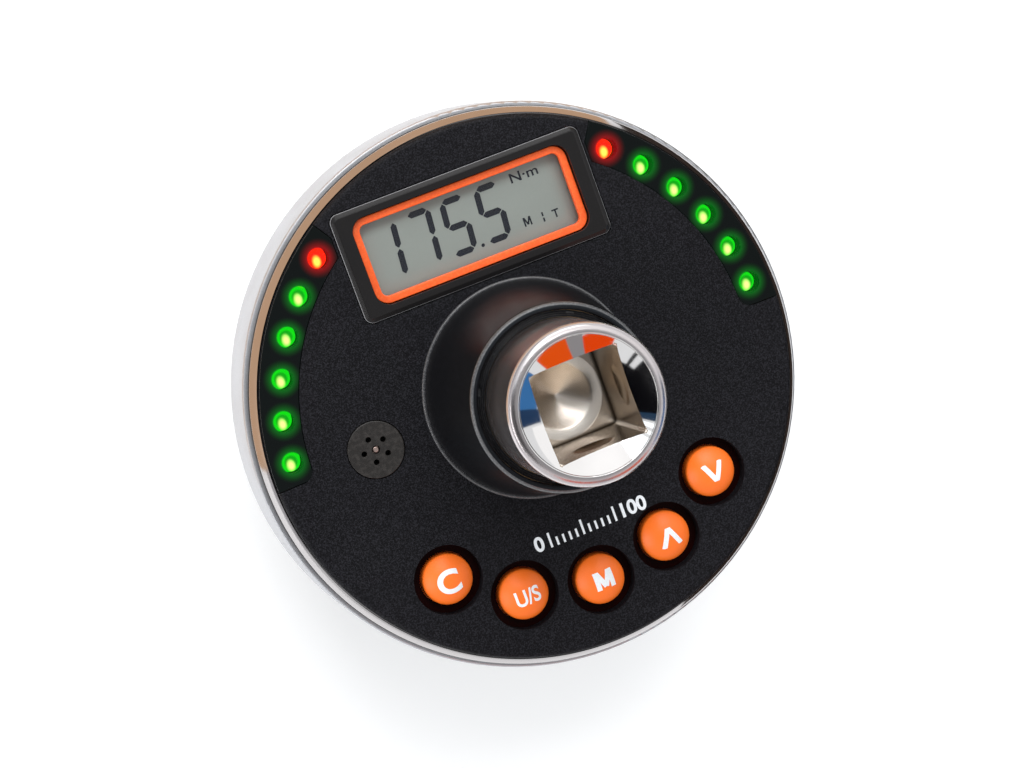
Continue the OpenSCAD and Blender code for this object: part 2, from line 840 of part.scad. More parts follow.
module display_bezel() {
    color("#252528") upright(0, display_y) difference() {
        union() {
            intersection() {
                rounded_slab(bezel_w, bezel_h, bezel_corner_r, z_bezel0, z_bezel1);
                bevelled_bar(bezel_w, 2 * bezel_h);
                rotate([0, 0, 90]) bevelled_bar(bezel_h, 2 * bezel_w);
            }
            intersection() {
                rounded_slab(bezel_w + 2 * (bezel_gap + bezel_tab),
                    bezel_h + 2 * (bezel_gap + bezel_tab), bezel_corner_r + bezel_gap, z_bezel0, z_tab1);
                upright(0, -display_y) disc(seat_r - ledge_w - fit, z_bezel0, z_tab1);
            }
        }
        rounded_slab(trim_w + 2 * fit, trim_h + 2 * fit, trim_corner_r + fit, z_window0, z_bezel1 + cut);
        rounded_slab(view_w + 2 * view_margin, view_h + 2 * view_margin, trim_corner_r - trim_ring
            + view_margin, z_bezel0 - cut, z_window0 + cut);
    }
}

module display_trim() {
    color("orangered") upright(0, display_y) difference() {
        rounded_slab(trim_w, trim_h, trim_corner_r, z_trim0, z_trim1);
        rounded_slab(view_w, view_h, trim_corner_r - trim_ring, z_trim0 - cut, z_trim1 + cut);
    }
}

module display_window() {
    color([0.85, 0.9, 0.88, 0.4]) upright(0, display_y)
        rounded_slab(trim_w, trim_h, trim_corner_r, z_window0, z_window1);
}

module lcd_panel() {
    color("#a9b0a2") upright(0, display_y) block(lcd_w, lcd_h, z_lcd0, z_lcd1);
}

module lcd_connectors() {
    color("pink") for (side = [-1, 1]) {
        upright(0, display_y + side * (lcd_h / 2 - connector_inset - connector_w / 2))
            block(lcd_w - 2 * connector_w, connector_w, z_board1, z_lcd0);
    }
}

module lamp_window() {
    translate([0, 0, z_pane0]) linear_extrude(pane_t) pane_outline(0);
}

module lamp_window_right() {
    color([0.1, 0.1, 0.1, 0.6]) lamp_window();
}

module lamp_window_left() {
    color([0.1, 0.1, 0.1, 0.6]) mirror([1, 0, 0]) lamp_window();
}

// A lamp on its two leads, with a domed top
module lamp() {
    z_base = z_board1 + lamp_stand;
    z_dome = z_lamp1 - lamp_r;
    disc(lamp_flange_r, z_base, z_base + lamp_flange_h);
    disc(lamp_r, z_base, z_dome);
    intersection() {
        translate([0, 0, z_dome]) sphere(lamp_r);
        disc(2 * lamp_r, z_dome, z_lamp1);
    }
    for (side = [-1, 1]) {
        upright(0, side * lamp_lead_pitch) block(lamp_lead, lamp_lead, z_board1, z_base);
    }
}

module red_lamps() {
    color("red") both_sides() lamp_places(lamp_count - 1, lamp_count - 1) lamp();
}

module green_lamps() {
    color("lime") both_sides() lamp_places(0, lamp_count - 2) lamp();
}

module buzzer_grille() {
    color("#2a2a2c") upright(-grille_x, 0) difference() {
        disc(grille_r, z_face - grille_t, z_face);
        disc(centre_hole_r, z_face - grille_t - cut, z_face + cut);
        for (i = [1:sound_hole_count]) {
            at(sound_circle_r, 180 + i * 360 / sound_hole_count)
                disc(sound_hole_r, z_face - grille_t - cut, z_face + cut);
        }
    }
}

module grille_rivet() {
    color("rosybrown") upright(-grille_x, 0) {
        disc(rivet_r, z_face - grille_t - rivet_head_t, z_face - rivet_drop);
        disc(rivet_head_r, z_face - grille_t - rivet_head_t, z_face - grille_t);
    }
}

module buzzer() {
    z_base = z_board1 + buzzer_stand;
    z_top = z_plate0 - buzzer_top_gap;
    color("#151515") upright(-grille_x, 0) {
        difference() {
            disc(buzzer_r, z_base, z_top);
            disc(buzzer_port_r, z_top - buzzer_port_depth, z_top + cut);
        }
        for (side = [-1, 1]) {
            upright(0, side * buzzer_leg_pitch) disc(buzzer_leg_r, z_board1, z_base);
        }
    }
}

module main_board() {
    color("darkgreen") difference() {
        disc(board_r, z_board0, z_board1);
        disc(skirt_r + board_gap, z_board0 - cut, z_board1 + cut);
        for (p = column_places) {
            at(p[0], p[1]) disc(column_r + loose, z_board0 - cut, z_board1 + cut);
        }
        for (a = pillar_angles) {
            at(pillar_circle_r, a) disc(m2_r + fit, z_board0 - cut, z_board1 + cut);
        }
    }
}

// Controller, amplifiers, memory, crystal and capacitors
module board_chips() {
    spot_r = (skirt_r + pane_in_r + 2 * lamp_flange_r) / 2;
    color("#222222") {
        at(spot_r, 0) block(chip_w, chip_w, z_board1, z_board1 + chip_h);
        at(spot_r, 28) block(amplifier_w, amplifier_l, z_board1, z_board1 + chip_h);
        at(spot_r, 150) block(memory_w, amplifier_w, z_board1, z_board1 + chip_h);
        at(spot_r, 205) block(crystal_w, crystal_l, z_board1, z_board1 + crystal_h);
        for (a = [326, 336]) {
            at(spot_r, a) disc(capacitor_r, z_board1, z_board1 + capacitor_h);
        }
    }
}

module board_screws() {
    color("dimgray") for (a = pillar_angles) {
        at(pillar_circle_r, a) screw_down(m2_r, m2_head_r, m2_head_h, board_screw_len, z_board1);
    }
}

module key_switches() {
    color("#303034") for (i = [-2:2]) {
        button_place(i) difference() {
            block(switch_w, switch_w, z_board1, z_switch1);
            disc(plunger_r + plunger_gap, z_switch_bore, z_switch1 + cut);
        }
    }
}

// A domed button cap with a flange that holds it under its well
module button_cap(i) {
    z_side = z_button1 - button_shoulder;
    dome_r = (button_r * button_r + button_shoulder * button_shoulder) / (2 * button_shoulder);
    color("orangered") button_place(i) {
        disc(button_r, z_button0, z_side);
        disc(button_r + button_flange_w, z_button0, z_button_flange1);
        intersection() {
            disc(button_r, z_side, z_button1);
            translate([0, 0, z_button1 - dome_r]) sphere(dome_r);
        }
    }
}

module plunger(i) {
    color("white") button_place(i) disc(plunger_r, z_plunger0, z_button0);
}

module button_clear() {
    button_cap(-2);
}

module plunger_clear() {
    plunger(-2);
}

module button_units() {
    button_cap(-1);
}

module plunger_units() {
    plunger(-1);
}

module button_memory() {
    button_cap(0);
}

module plunger_memory() {
    plunger(0);
}

module button_up() {
    button_cap(1);
}

module plunger_up() {
    plunger(1);
}

module button_down() {
    button_cap(2);
}

module plunger_down() {
    plunger(2);
}

// Outline of a battery lid on the right side, shrunk all round by gap
module lid_outline(gap) {
    intersection() {
        circle(lid_r - gap);
        translate([lid_x0 + gap, gap - lid_half_l]) square([lid_r, 2 * (lid_half_l - gap)]);
    }
}

module cover_shell() {
    difference() {
        rotate_extrude() {
            translate([0, foot_h]) square([cover_r - cover_edge_r, cover_h - gasket_t]);
            translate([0, foot_h + cover_edge_r]) square([cover_r, cover_h - gasket_t - cover_edge_r]);
            translate([cover_r - cover_edge_r, foot_h + cover_edge_r]) circle(cover_edge_r);
        }
        disc(cover_in_r, foot_h + cover_floor, z_web0 + cut);
    }
}

module rear_cover() {
    color("#1d1d1f") difference() {
        union() {
            cover_shell();
            bay_places() block(2 * (bay_half_w + bay_wall), 2 * (bay_half_l + bay_wall),
                foot_h + cover_floor / 2, z_bay1 + bay_wall);
            for (a = cover_screw_angles) {
                at(cover_screw_r, a) disc(cover_boss_r, foot_h + cover_floor / 2, z_web0);
            }
            both_sides() upright(lid_screw_x, 0)
                disc(lid_boss_r, foot_h + cover_floor / 2, z_web0 - gasket_t);
        }
        rotate([0, 0, 30]) translate([0, 0, foot_h - cut])
            cylinder(h = cover_h, r = (foot_af / 2 + foot_gap) / cos(30), $fn = 6);
        bay_places() block(2 * bay_half_w, 2 * bay_half_l, foot_h - cut, z_bay1);
        both_sides() translate([0, 0, foot_h - cut])
            linear_extrude(lid_t + fit + cut) lid_outline(0);
        both_sides() upright(lid_screw_x, 0) disc(m25_r, foot_h, foot_h + lid_t + lid_screw_len);
        for (a = cover_screw_angles) {
            at(cover_screw_r, a) {
                disc(m3_r + fit, foot_h - cut, z_web0 + cut);
                disc(m3_head_r + fit, foot_h - cut, foot_h + m3_head_h + head_sink);
            }
        }
        for (side = [-1, 1], end = [-1, 1]) {
            upright(side * bay_x, end * (bay_half_l - contact_t / 2))
                block(tag_w + 2 * fit, contact_t + 2 * fit, z_bay1 - cut, z_bay1 + bay_wall + cut);
        }
    }
}

module rear_gasket() {
    color("black") difference() {
        ring(cover_r - 0.15 * cover_wall, cover_in_r + 0.15 * cover_wall, z_web0 - gasket_t, z_web0);
        bay_places() block(2 * (bay_half_w + bay_wall + fit), 2 * (bay_half_l + bay_wall + fit),
            z_web0 - gasket_t - cut, z_web0 + cut);
    }
}

module cover_screws() {
    color("dimgray") for (a = cover_screw_angles) {
        at(cover_screw_r, a)
            screw_up(m3_r, m3_head_r, m3_head_h, cover_screw_len, foot_h + m3_head_h + head_sink);
    }
}

// A cell along Y in the bay on one side, with its raised end towards plus or minus Y
module cell(side) {
    y_end = bay_half_l - positive_gap;
    color("slategray") translate([side * bay_x, side * y_end, z_cell]) rotate([side * 90, 0, 0]) {
        cylinder(h = nub_h + fit, r = nub_r);
        translate([0, 0, nub_h]) cylinder(h = cell_len - nub_h, r = cell_r);
    }
}

module battery_left() {
    cell(-1);
}

module battery_right() {
    cell(1);
}

// Plate with a pressed bump for the raised end of each cell, and a tag up to the board
module positive_contacts() {
    color("silver") for (side = [-1, 1]) {
        translate([side * bay_x, side * bay_half_l, 0]) {
            upright(0, -side * contact_t / 2) {
                block(contact_w, contact_t, z_cell - contact_h / 2, z_cell + contact_h / 2);
                block(tag_w, contact_t, z_cell, z_board0);
            }
            translate([0, -side * contact_t / 2, z_cell]) rotate([side * 90, 0, 0])
                cylinder(h = positive_gap - contact_t / 2, r = bump_r);
        }
    }
}

// Plate with a bent leaf that presses on the flat end of each cell, and a tag up to the board
module negative_contacts() {
    reach = negative_gap - leaf_t;
    color("silver") for (side = [-1, 1]) {
        translate([side * bay_x, -side * bay_half_l, 0]) {
            upright(0, side * contact_t / 2) {
                block(contact_w, contact_t, z_cell - contact_h / 2, z_cell + contact_h / 2);
                block(tag_w, contact_t, z_cell, z_board0);
            }
            for (half = [-1, 1]) {
                translate([0, 0, z_cell]) scale([1, side, half])
                    rotate([90, 0, 90]) translate([0, 0, -contact_w / 4]) linear_extrude(contact_w / 2)
                        polygon([[contact_t / 2, contact_h / 2], [reach, 0], [reach + leaf_t, 0],
                            [reach + leaf_t, leaf_t], [contact_t / 2 + leaf_t, contact_h / 2]]);
            }
        }
    }
}

// A lid with a locating rib around the bay's mouth and grip grooves on its outside
module battery_lid() {
    color("#1d1d1f") difference() {
        union() {
            translate([0, 0, foot_h]) linear_extrude(lid_t) lid_outline(lid_gap);
            upright(bay_x, 0) difference() {
                block(2 * (bay_half_w - lid_gap), 2 * (bay_half_l - lid_gap - contact_t),
                    foot_h + lid_t / 2, foot_h + lid_t + rib_h);
                block(2 * (bay_half_w - lid_gap - rib_t), 2 * (bay_half_l - lid_gap - contact_t - rib_t),
                    foot_h + lid_t, foot_h + lid_t + rib_h + cut);
            }
        }
        upright(lid_screw_x, 0) {
            disc(m25_r + fit, foot_h - cut, foot_h + lid_t + cut);
            disc(m25_head_r + fit, foot_h - cut, foot_h + 0.6 * lid_t);
        }
        for (i = [-2:2]) {
            upright(bay_x, i * grip_pitch) block(grip_len, grip_w, foot_h - cut, foot_h + grip_depth);
        }
    }
}

module battery_lid_right() {
    battery_lid();
}

module battery_lid_left() {
    mirror([1, 0, 0]) battery_lid();
}

module lid_screw() {
    color("dimgray") upright(lid_screw_x, 0)
        screw_up(m25_r, m25_head_r, 0.55 * lid_t, lid_screw_len, foot_h + 0.6 * lid_t);
}

module lid_screw_right() {
    lid_screw();
}

module lid_screw_left() {
    mirror([1, 0, 0]) lid_screw();
}

torque_shaft();
flange_screws();
housing();
rim_ring();
face_gasket();
face_plate();
face_screws();
front_collar();
collar_screws();
collar_bush();
shaft_seal();
strain_gauges();
gauge_flex();
display_bezel();
display_trim();
display_window();
lcd_panel();
lcd_connectors();
lamp_window_left();
lamp_window_right();
red_lamps();
green_lamps();
buzzer_grille();
grille_rivet();
buzzer();
main_board();
board_chips();
board_screws();
key_switches();
rear_cover();
rear_gasket();
cover_screws();
battery_left();
battery_right();
positive_contacts();
negative_contacts();
button_clear();
plunger_clear();
button_units();
plunger_units();
button_memory();
plunger_memory();
button_up();
plunger_up();
button_down();
plunger_down();
battery_lid_left();
lid_screw_left();
battery_lid_right();
lid_screw_right();
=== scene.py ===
"""Looks of a bench torque tester, built around its packed CAD parts.

The file is laid out as a Blender add-on and is run as a script. All lengths are metres, in the frame of
the CAD parts: +Z along the torque axis towards the drive head, +Y to the top of the display.
"""
import math

import bmesh
import bpy
from bpy.props import FloatProperty, FloatVectorProperty, IntProperty, PointerProperty, StringProperty
from mathutils import Matrix, Vector


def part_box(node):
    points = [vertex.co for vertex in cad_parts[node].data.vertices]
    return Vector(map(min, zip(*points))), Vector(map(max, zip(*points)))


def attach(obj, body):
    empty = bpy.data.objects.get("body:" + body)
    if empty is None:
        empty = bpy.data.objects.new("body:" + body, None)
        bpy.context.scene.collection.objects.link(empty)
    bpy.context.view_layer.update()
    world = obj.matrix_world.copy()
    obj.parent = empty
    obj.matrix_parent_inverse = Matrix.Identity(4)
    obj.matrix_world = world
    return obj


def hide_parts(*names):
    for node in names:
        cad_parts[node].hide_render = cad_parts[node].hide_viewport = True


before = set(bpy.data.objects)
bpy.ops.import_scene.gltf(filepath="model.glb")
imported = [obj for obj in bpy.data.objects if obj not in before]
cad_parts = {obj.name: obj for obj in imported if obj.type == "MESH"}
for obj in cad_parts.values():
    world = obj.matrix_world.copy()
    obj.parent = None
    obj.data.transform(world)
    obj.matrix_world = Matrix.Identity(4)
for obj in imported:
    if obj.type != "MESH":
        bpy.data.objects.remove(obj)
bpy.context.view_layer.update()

bl_info = {
    "name": "Torque Tester Looks",
    "version": (1, 0, 0),
    "blender": (4, 5, 0),
    "location": "3D View > Sidebar > Torque Tester",
    "description": "Models and finishes the pieces of a bench torque tester around its CAD parts",
    "category": "Object",
}

MM = 0.001
CASE = "case"
KEYS = ("clear", "units", "memory", "up", "down")


def low(node):
    """Lowest corner of a CAD node."""
    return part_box(node)[0]


def high(node):
    """Highest corner of a CAD node."""
    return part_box(node)[1]


def levels(node):
    """Lowest and highest level of a CAD node."""
    return low(node).z, high(node).z


# Planes of the tester that the CAD parts give
FACE_Z = high("buzzer_grille").z
HEAD_Z = high("torque_shaft").z
COVER_Z = low("rear_cover").z
WEB_Z = low("housing").z
RIM_Z = low("rim_ring").z
BOARD_Z = high("main_board").z

# Thickness of a print and of the display's segments
PRINT_T = 0.03 * MM
SEGMENT_T = 0.04 * MM

# Play between the seal and the pieces beside it
SEAL_PLAY = 0.1 * MM


# Settings

def length(label, about, value):
    """A length given in millimetres."""
    return FloatProperty(name=label, description=about, default=value * MM, unit="LENGTH", precision=5)


def angle(label, about, value):
    """An angle given in degrees."""
    return FloatProperty(name=label, description=about, default=math.radians(value), unit="ROTATION")


def colour(label, about, value):
    """A linear colour."""
    return FloatVectorProperty(name=label, description=about, default=value, subtype="COLOR",
                               size=3, min=0, max=1)


class ShaftSettings(bpy.types.PropertyGroup):
    """Sizes of the measuring shaft and its drive head"""
    head_r: length("Head radius", "Radius of the chromed head", 11.25)
    crest_r: length("Crest radius", "Radius of the highest ring of the head", 9.85)
    crown_h: length("Crown height", "Height of the head's rounded shoulder", 1.15)
    mouth_r: length("Mouth radius", "Radius of the dished mouth", 9.6)
    mouth_slope: angle("Mouth slope", "Slope of the dish half-way down", 26)
    socket_af: length("Square", "Width across the flats of the square socket", 12.95)
    socket_corner: length("Square corner", "Corner rounding of the square socket", 0.8)
    socket_depth: length("Square depth", "Depth of the square socket", 16)
    detent_r: length("Detent radius", "Reach of the detent groove from the axis", 7.2)
    detent_depth: length("Detent depth", "Depth of the groove's middle", 6)
    detent_tube: length("Detent rounding", "Rounding of the detent groove", 5)
    pilot_r: length("Pilot radius", "Radius of the drilled pilot in the socket's floor", 4.5)
    pilot_depth: length("Pilot depth", "Depth of the pilot's middle", 2.2)
    journal_r: length("Journal radius", "Radius of the journal under the head", 10.8)
    journal_h: length("Journal height", "Height of the journal under the head", 7.6)
    waist_r: length("Waist radius", "Radius of the measuring waist", 9)
    flat_r: length("Gauge flats", "Distance of the strain gauge flats from the axis", 8.2)
    flat_low: length("Flats from", "Height at which the gauge flats begin", 39.67)
    flat_high: length("Flats to", "Height at which the gauge flats end", 53.67)
    spigot_r: length("Spigot radius", "Radius of the spigot in the housing", 10.95)
    foot_af: length("Foot", "Width across the flats of the hexagonal foot", 27)
    foot_edge: length("Foot chamfer", "Chamfer on the foot's corners", 0.8)
    foot_step: length("Foot step", "How much the foot steps in below the rear cover", 0.4)
    flange_r: length("Flange radius", "Radius of the mounting flange", 20.5)
    flange_t: length("Flange thickness", "Thickness of the mounting flange", 4)


class CollarSettings(bpy.types.PropertyGroup):
    """Sizes of the tapered collar and its seal"""
    base_r: length("Base radius", "Radius of the collar at the face", 16.05)
    top_r: length("Top radius", "Radius of the collar at its top", 13.44)
    bead_r: length("Bead", "Rounding of the bead round the collar's foot", 0.3)
    edge_r: length("Edge rounding", "Rounding of the collar's top edge", 0.8)
    bore_r: length("Bore radius", "Radius of the collar's upper bore", 12.35)
    skirt_in_r: length("Skirt bore", "Radius of the bore below the bush", 11.7)
    skirt_r: length("Skirt radius", "Radius of the skirt below the face", 14.4)
    flange_r: length("Flange radius", "Radius of the lower flange", 19.3)
    flange_t: length("Flange thickness", "Thickness of the lower flange", 2)


class FaceSettings(bpy.types.PropertyGroup):
    """Sizes of the face plate, the rim and the sound grille"""
    grille_r: length("Grille radius", "Radius of the sound grille", 4.25)
    grille_t: length("Grille thickness", "Thickness of the sound grille", 1.5)
    sound_circle_r: length("Sound circle", "Radius of the circle of sound holes", 1.84)
    sound_r: length("Sound hole", "Radius of a sound hole", 0.42)
    sound_count: IntProperty(name="Sound holes", description="Number of sound holes", default=5, min=3)
    pin_hole_r: length("Pin hole", "Radius of the grille's middle hole", 0.62)
    seat_r: length("Seat radius", "Inner radius of the polished rim", 40.4)
    rim_r: length("Rim radius", "Outer radius of the polished rim", 41.56)
    rim_round: length("Rim rounding", "Rounding of the rim's lip", 3)
    groove_turn: angle("Groove", "Turn of the lip that the groove takes", 12)
    ledge_w: length("Ledge width", "Width of the ledge under the face plate", 1.4)
    ledge_t: length("Ledge thickness", "Thickness of the ledge under the face plate", 1)


class DisplaySettings(bpy.types.PropertyGroup):
    """Sizes and contents of the display"""
    middle_y: length("Middle", "Distance of the display's middle from the axis", 25.64)
    bezel_w: length("Bezel width", "Width of the bezel", 39.2)
    bezel_h: length("Bezel height", "Height of the bezel", 16.67)
    bezel_corner: length("Bezel corner", "Corner rounding of the bezel", 1.3)
    bezel_bevel: length("Bezel bevel", "Width of the bezel's bevel", 0.7)
    bezel_rise: length("Bezel rise", "Height of the bezel's bevel", 0.42)
    trim_w: length("Trim width", "Width of the coloured trim", 33.8)
    trim_h: length("Trim height", "Height of the coloured trim", 13.1)
    trim_corner: length("Trim corner", "Corner rounding of the coloured trim", 2.1)
    trim_ring: length("Trim ring", "Width of the coloured trim's ring", 1.08)
    reading: StringProperty(name="Reading", description="Digits on the display", default="175.5")
    digit_h: length("Digit height", "Height of a digit", 8.7)
    digit_w: length("Digit width", "Width of a digit", 4.05)
    digit_pitch: length("Digit pitch", "Distance from one digit to the next", 5.48)
    digit_right: length("Last digit", "Right side of the last digit", 6.14)
    digit_low: length("Digit foot", "Distance of the digits' foot from the axis", 21.55)
    segment_w: length("Segment", "Width of a segment", 0.92)
    lean: angle("Lean", "Slant of the digits", 5)


class LampSettings(bpy.types.PropertyGroup):
    """Sizes of the two rows of lamps and their windows"""
    in_row: IntProperty(name="Lamps", description="Lamps in a row", default=6, min=2)
    circle_r: length("Lamp circle", "Radius of the circle that the lamps stand on", 36.9)
    first: angle("First lamp", "Direction of the lowest lamp", 4.2)
    step: angle("Lamp step", "Angle from one lamp to the next", 9.5)
    lamp_r: length("Lamp radius", "Radius of a lamp", 1.5)
    flange_r: length("Lamp flange", "Radius of a lamp's flange", 1.85)
    pane_in_r: length("Window inside", "Inner radius of a lamp window", 34.5)
    pane_out_r: length("Window outside", "Outer radius of a lamp window", 40.15)
    pane_low: angle("Window from", "Direction of a window's lower end", -1)
    pane_high: angle("Window to", "Direction of a window's upper end", 57)
    pane_corner: length("Window corner", "Corner rounding of a window", 2)


class ButtonSettings(bpy.types.PropertyGroup):
    """Sizes of the five buttons"""
    circle_r: length("Button circle", "Radius of the circle that the buttons stand on", 30.71)
    step: angle("Button step", "Angle from one button to the next", 22.2)
    button_r: length("Button radius", "Radius of a button", 3.78)
    shoulder: length("Dome height", "Height of a button's dome", 1.8)
    flange_r: length("Flange radius", "Radius of the flange that holds a button", 4.53)
    flange_t: length("Flange thickness", "Thickness of that flange", 0.7)
    legend_h: length("Legend height", "Height of the letters on the buttons", 2.5)


class ColourSettings(bpy.types.PropertyGroup):
    """Colours of the finishes"""
    orange: colour("Orange", "Buttons", (0.96, 0.17, 0.014))
    trim: colour("Trim", "Display trim", (0.93, 0.105, 0.008))
    plate: colour("Plate", "Textured black of the face", (0.0032, 0.0032, 0.0041))
    bezel: colour("Bezel", "Smooth dark plastic of the bezel", (0.0115, 0.0108, 0.011))
    print_white: colour("Print", "White printing", (0.84, 0.87, 0.9))
    liquid: colour("Liquid crystal", "Lit ground of the display", (0.49, 0.535, 0.49))
    digits: colour("Digits", "Dark segments of the display", (0.004, 0.007, 0.02))
    red: colour("Red lamp", "Light of the red lamps", (0.9, 0.014, 0.003))
    green: colour("Green lamp", "Light of the green lamps", (0.004, 0.42, 0.004))


class StageSettings(bpy.types.PropertyGroup):
    """Light of the stage"""
    floor: colour("Floor", "Colour of the floor", (0.9, 0.905, 0.91))
    key: FloatProperty(name="Key light", description="Power of the large soft light", default=6.5,
                       unit="POWER")
    fill: FloatProperty(name="Fill light", description="Power of the side light", default=3.0, unit="POWER")
    sky: FloatProperty(name="Surroundings", description="Brightness of the white surroundings", default=0.95)
    zenith: FloatProperty(name="Ceiling", description="Brightness straight above the face", default=0.42)
    floor_glow: FloatProperty(name="Floor glow", description="Brightness that the floor has of its own",
                              default=0.16)
    lens: FloatProperty(name="Lens", description="Focal length on a 36 mm sensor", default=89.9,
                        unit="CAMERA")


# Modelling helpers

def deselect():
    """Leaves edit mode and selects nothing."""
    if bpy.context.object and bpy.context.object.mode != "OBJECT":
        bpy.ops.object.mode_set(mode="OBJECT")
    bpy.ops.object.select_all(action="DESELECT")


def take(*pieces):
    """Selects pieces and makes the first one active."""
    deselect()
    for piece in pieces:
        piece.select_set(True)
    bpy.context.view_layer.objects.active = pieces[0]
    return pieces[0]


def edit(piece, mode="FACE"):
    """Opens a piece in edit mode with all of it selected."""
    take(piece)
    bpy.ops.object.mode_set(mode="EDIT")
    bpy.ops.mesh.select_mode(type=mode)
    bpy.ops.mesh.select_all(action="SELECT")
    return bmesh.from_edit_mesh(piece.data)


def pick(piece, kind, test):
    """In edit mode, selects just the verts, edges or faces that pass a test."""
    bpy.ops.mesh.select_all(action="DESELECT")
    bpy.ops.mesh.select_mode(type={"verts": "VERT", "edges": "EDGE", "faces": "FACE"}[kind])
    mesh = bmesh.from_edit_mesh(piece.data)
    for item in getattr(mesh, kind):
        if test(item):
            item.select_set(True)
    mesh.select_flush_mode()
    bmesh.update_edit_mesh(piece.data)


def middle(item):
    """Middle of an edge."""
    return (item.verts[0].co + item.verts[1].co) / 2


def upright(edge):
    """Whether an edge runs along Z."""
    run = edge.verts[1].co - edge.verts[0].co
    return math.hypot(run.x, run.y) < 1e-3 * abs(run.z)


def shut(piece):
    """Merges doubles, turns the faces outwards and leaves edit mode."""
    bpy.ops.mesh.select_all(action="SELECT")
    bpy.ops.mesh.remove_doubles(threshold=2e-7)
    bpy.ops.mesh.normals_make_consistent(inside=False)
    bpy.ops.object.mode_set(mode="OBJECT")
    return piece


def still(piece):
    """Puts a piece's place into its mesh."""
    take(piece)
    bpy.ops.object.transform_apply(location=True, rotation=True, scale=True)
    return piece


def spun(piece, turn):
    """Turns a piece's mesh round the torque axis."""
    piece.rotation_euler.z = turn
    return still(piece)


def arc(centre_r, centre_z, radius, start, end, steps):
    """Points of an arc in an outline, from one angle to another in degrees."""
    turn = [math.radians(start + (end - start) * i / steps) for i in range(steps + 1)]
    return [(centre_r + radius * math.cos(a), centre_z + radius * math.sin(a)) for a in turn]


def turned(name, outline, x=0.0, y=0.0, segments=192, ring=True):
    """Turns an outline of (radius, height) points round an upright line, one ring after the other.

    A ring's outline closes on itself. A solid's outline starts with the edge of its flat underside and
    ends at its top, which is closed too.
    """
    deselect()
    first_r, first_z = outline[0]
    bpy.ops.mesh.primitive_circle_add(vertices=segments, radius=first_r, location=(x, y, first_z),
                                      fill_type="NOTHING" if ring else "NGON")
    piece = bpy.context.object
    piece.name = name
    still(piece)
    edit(piece, "EDGE")
    pick(piece, "edges", lambda e: on_ring(e, x, y, first_r, first_z) and len(e.link_faces) < 2)
    path = outline + outline[:1] if ring else outline
    for (r, z), (next_r, next_z) in zip(path, path[1:]):
        bpy.ops.mesh.extrude_edges_move(TRANSFORM_OT_translate={"value": (0, 0, next_z - z)})
        share = max(next_r, 1e-9) / r
        bpy.ops.transform.resize(value=(share, share, 1), center_override=(x, y, next_z))
    if not ring and path[-1][0] > 1e-6:
        bpy.ops.mesh.edge_face_add()
    return shut(piece)


def on_ring(edge, x, y, r, z):
    """Whether an edge lies on a ring of that radius and height."""
    return all(abs(math.hypot(v.co.x - x, v.co.y - y) - r) < 1e-7 and abs(v.co.z - z) < 1e-7
               for v in edge.verts)


def swept(name, inner, outer, bottom, top, start, end, steps=96):
    """A rectangle swept round the torque axis from one direction to another."""
    deselect()
    bpy.ops.mesh.primitive_plane_add(size=1)
    piece = bpy.context.object
    piece.name = name
    piece.scale = (outer - inner, top - bottom, 1)
    piece.rotation_euler.x = math.radians(90)
    piece.location = ((outer + inner) / 2, 0, (bottom + top) / 2)
    still(piece)
    spun(piece, start)
    edit(piece)
    bpy.ops.mesh.spin(steps=steps, angle=start - end, center=(0, 0, 0), axis=(0, 0, 1))
    return shut(piece)


def rod(name, radius, bottom, top, x=0.0, y=0.0, sides=64):
    """An upright rod, as a start or a cutter."""
    deselect()
    bpy.ops.mesh.primitive_cylinder_add(vertices=sides, radius=radius, depth=top - bottom,
                                        location=(x, y, (top + bottom) / 2))
    bpy.context.object.name = name
    return still(bpy.context.object)


def bar(name, low_corner, high_corner):
    """A plain bar between two corners, as a start or a cutter."""
    deselect()
    low_corner, high_corner = Vector(low_corner), Vector(high_corner)
    bpy.ops.mesh.primitive_cube_add(size=1, location=(low_corner + high_corner) / 2,
                                    scale=high_corner - low_corner)
    bpy.context.object.name = name
    return still(bpy.context.object)


def slab(name, width, height, corner, bottom, top, x=0.0, y=0.0, steps=10):
    """A flat block with rounded upright corners."""
    half = Vector((width / 2, height / 2, 0))
    place = Vector((x, y, 0))
    piece = bar(name, place - half + Vector((0, 0, bottom)), place + half + Vector((0, 0, top)))
    edit(piece, "EDGE")
    pick(piece, "edges", upright)
    bpy.ops.mesh.bevel(offset=corner, segments=steps, affect="EDGES")
    return shut(piece)


def modify(piece, kind, **settings):
    """Applies a modifier with these settings."""
    take(piece)
    step = piece.modifiers.new(kind.lower(), kind)
    for key, value in settings.items():
        setattr(step, key, value)
    bpy.ops.object.modifier_apply(modifier=step.name)
    return piece


def combine(piece, other, operation):
    """Cuts, adds or keeps what two pieces share, and uses the other piece up."""
    modify(piece, "BOOLEAN", operation=operation, solver="EXACT", object=other)
    bpy.data.objects.remove(other)
    return piece


def cut(piece, *cutters):
    """Cuts each cutter out of a piece."""
    for cutter in cutters:
        combine(piece, cutter, "DIFFERENCE")
    return piece


def merge(pieces, name):
    """Joins pieces that stay separate solids into one object."""
    take(*pieces)
    bpy.ops.object.join()
    bpy.context.object.name = name
    return bpy.context.object


def soften(piece, width, steps=2, over=30):
    """Rounds the sharp edges of a piece and shades it smooth between them."""
    return smooth(modify(piece, "BEVEL", width=width, segments=steps, limit_method="ANGLE",
                         angle_limit=math.radians(over), miter_outer="MITER_ARC"))


def smooth(piece, over=38):
    """Shades a piece smooth, with large faces kept flat."""
    take(piece)
    bpy.ops.object.shade_smooth_by_angle(angle=math.radians(over))
    return modify(piece, "WEIGHTED_NORMAL", keep_sharp=True)


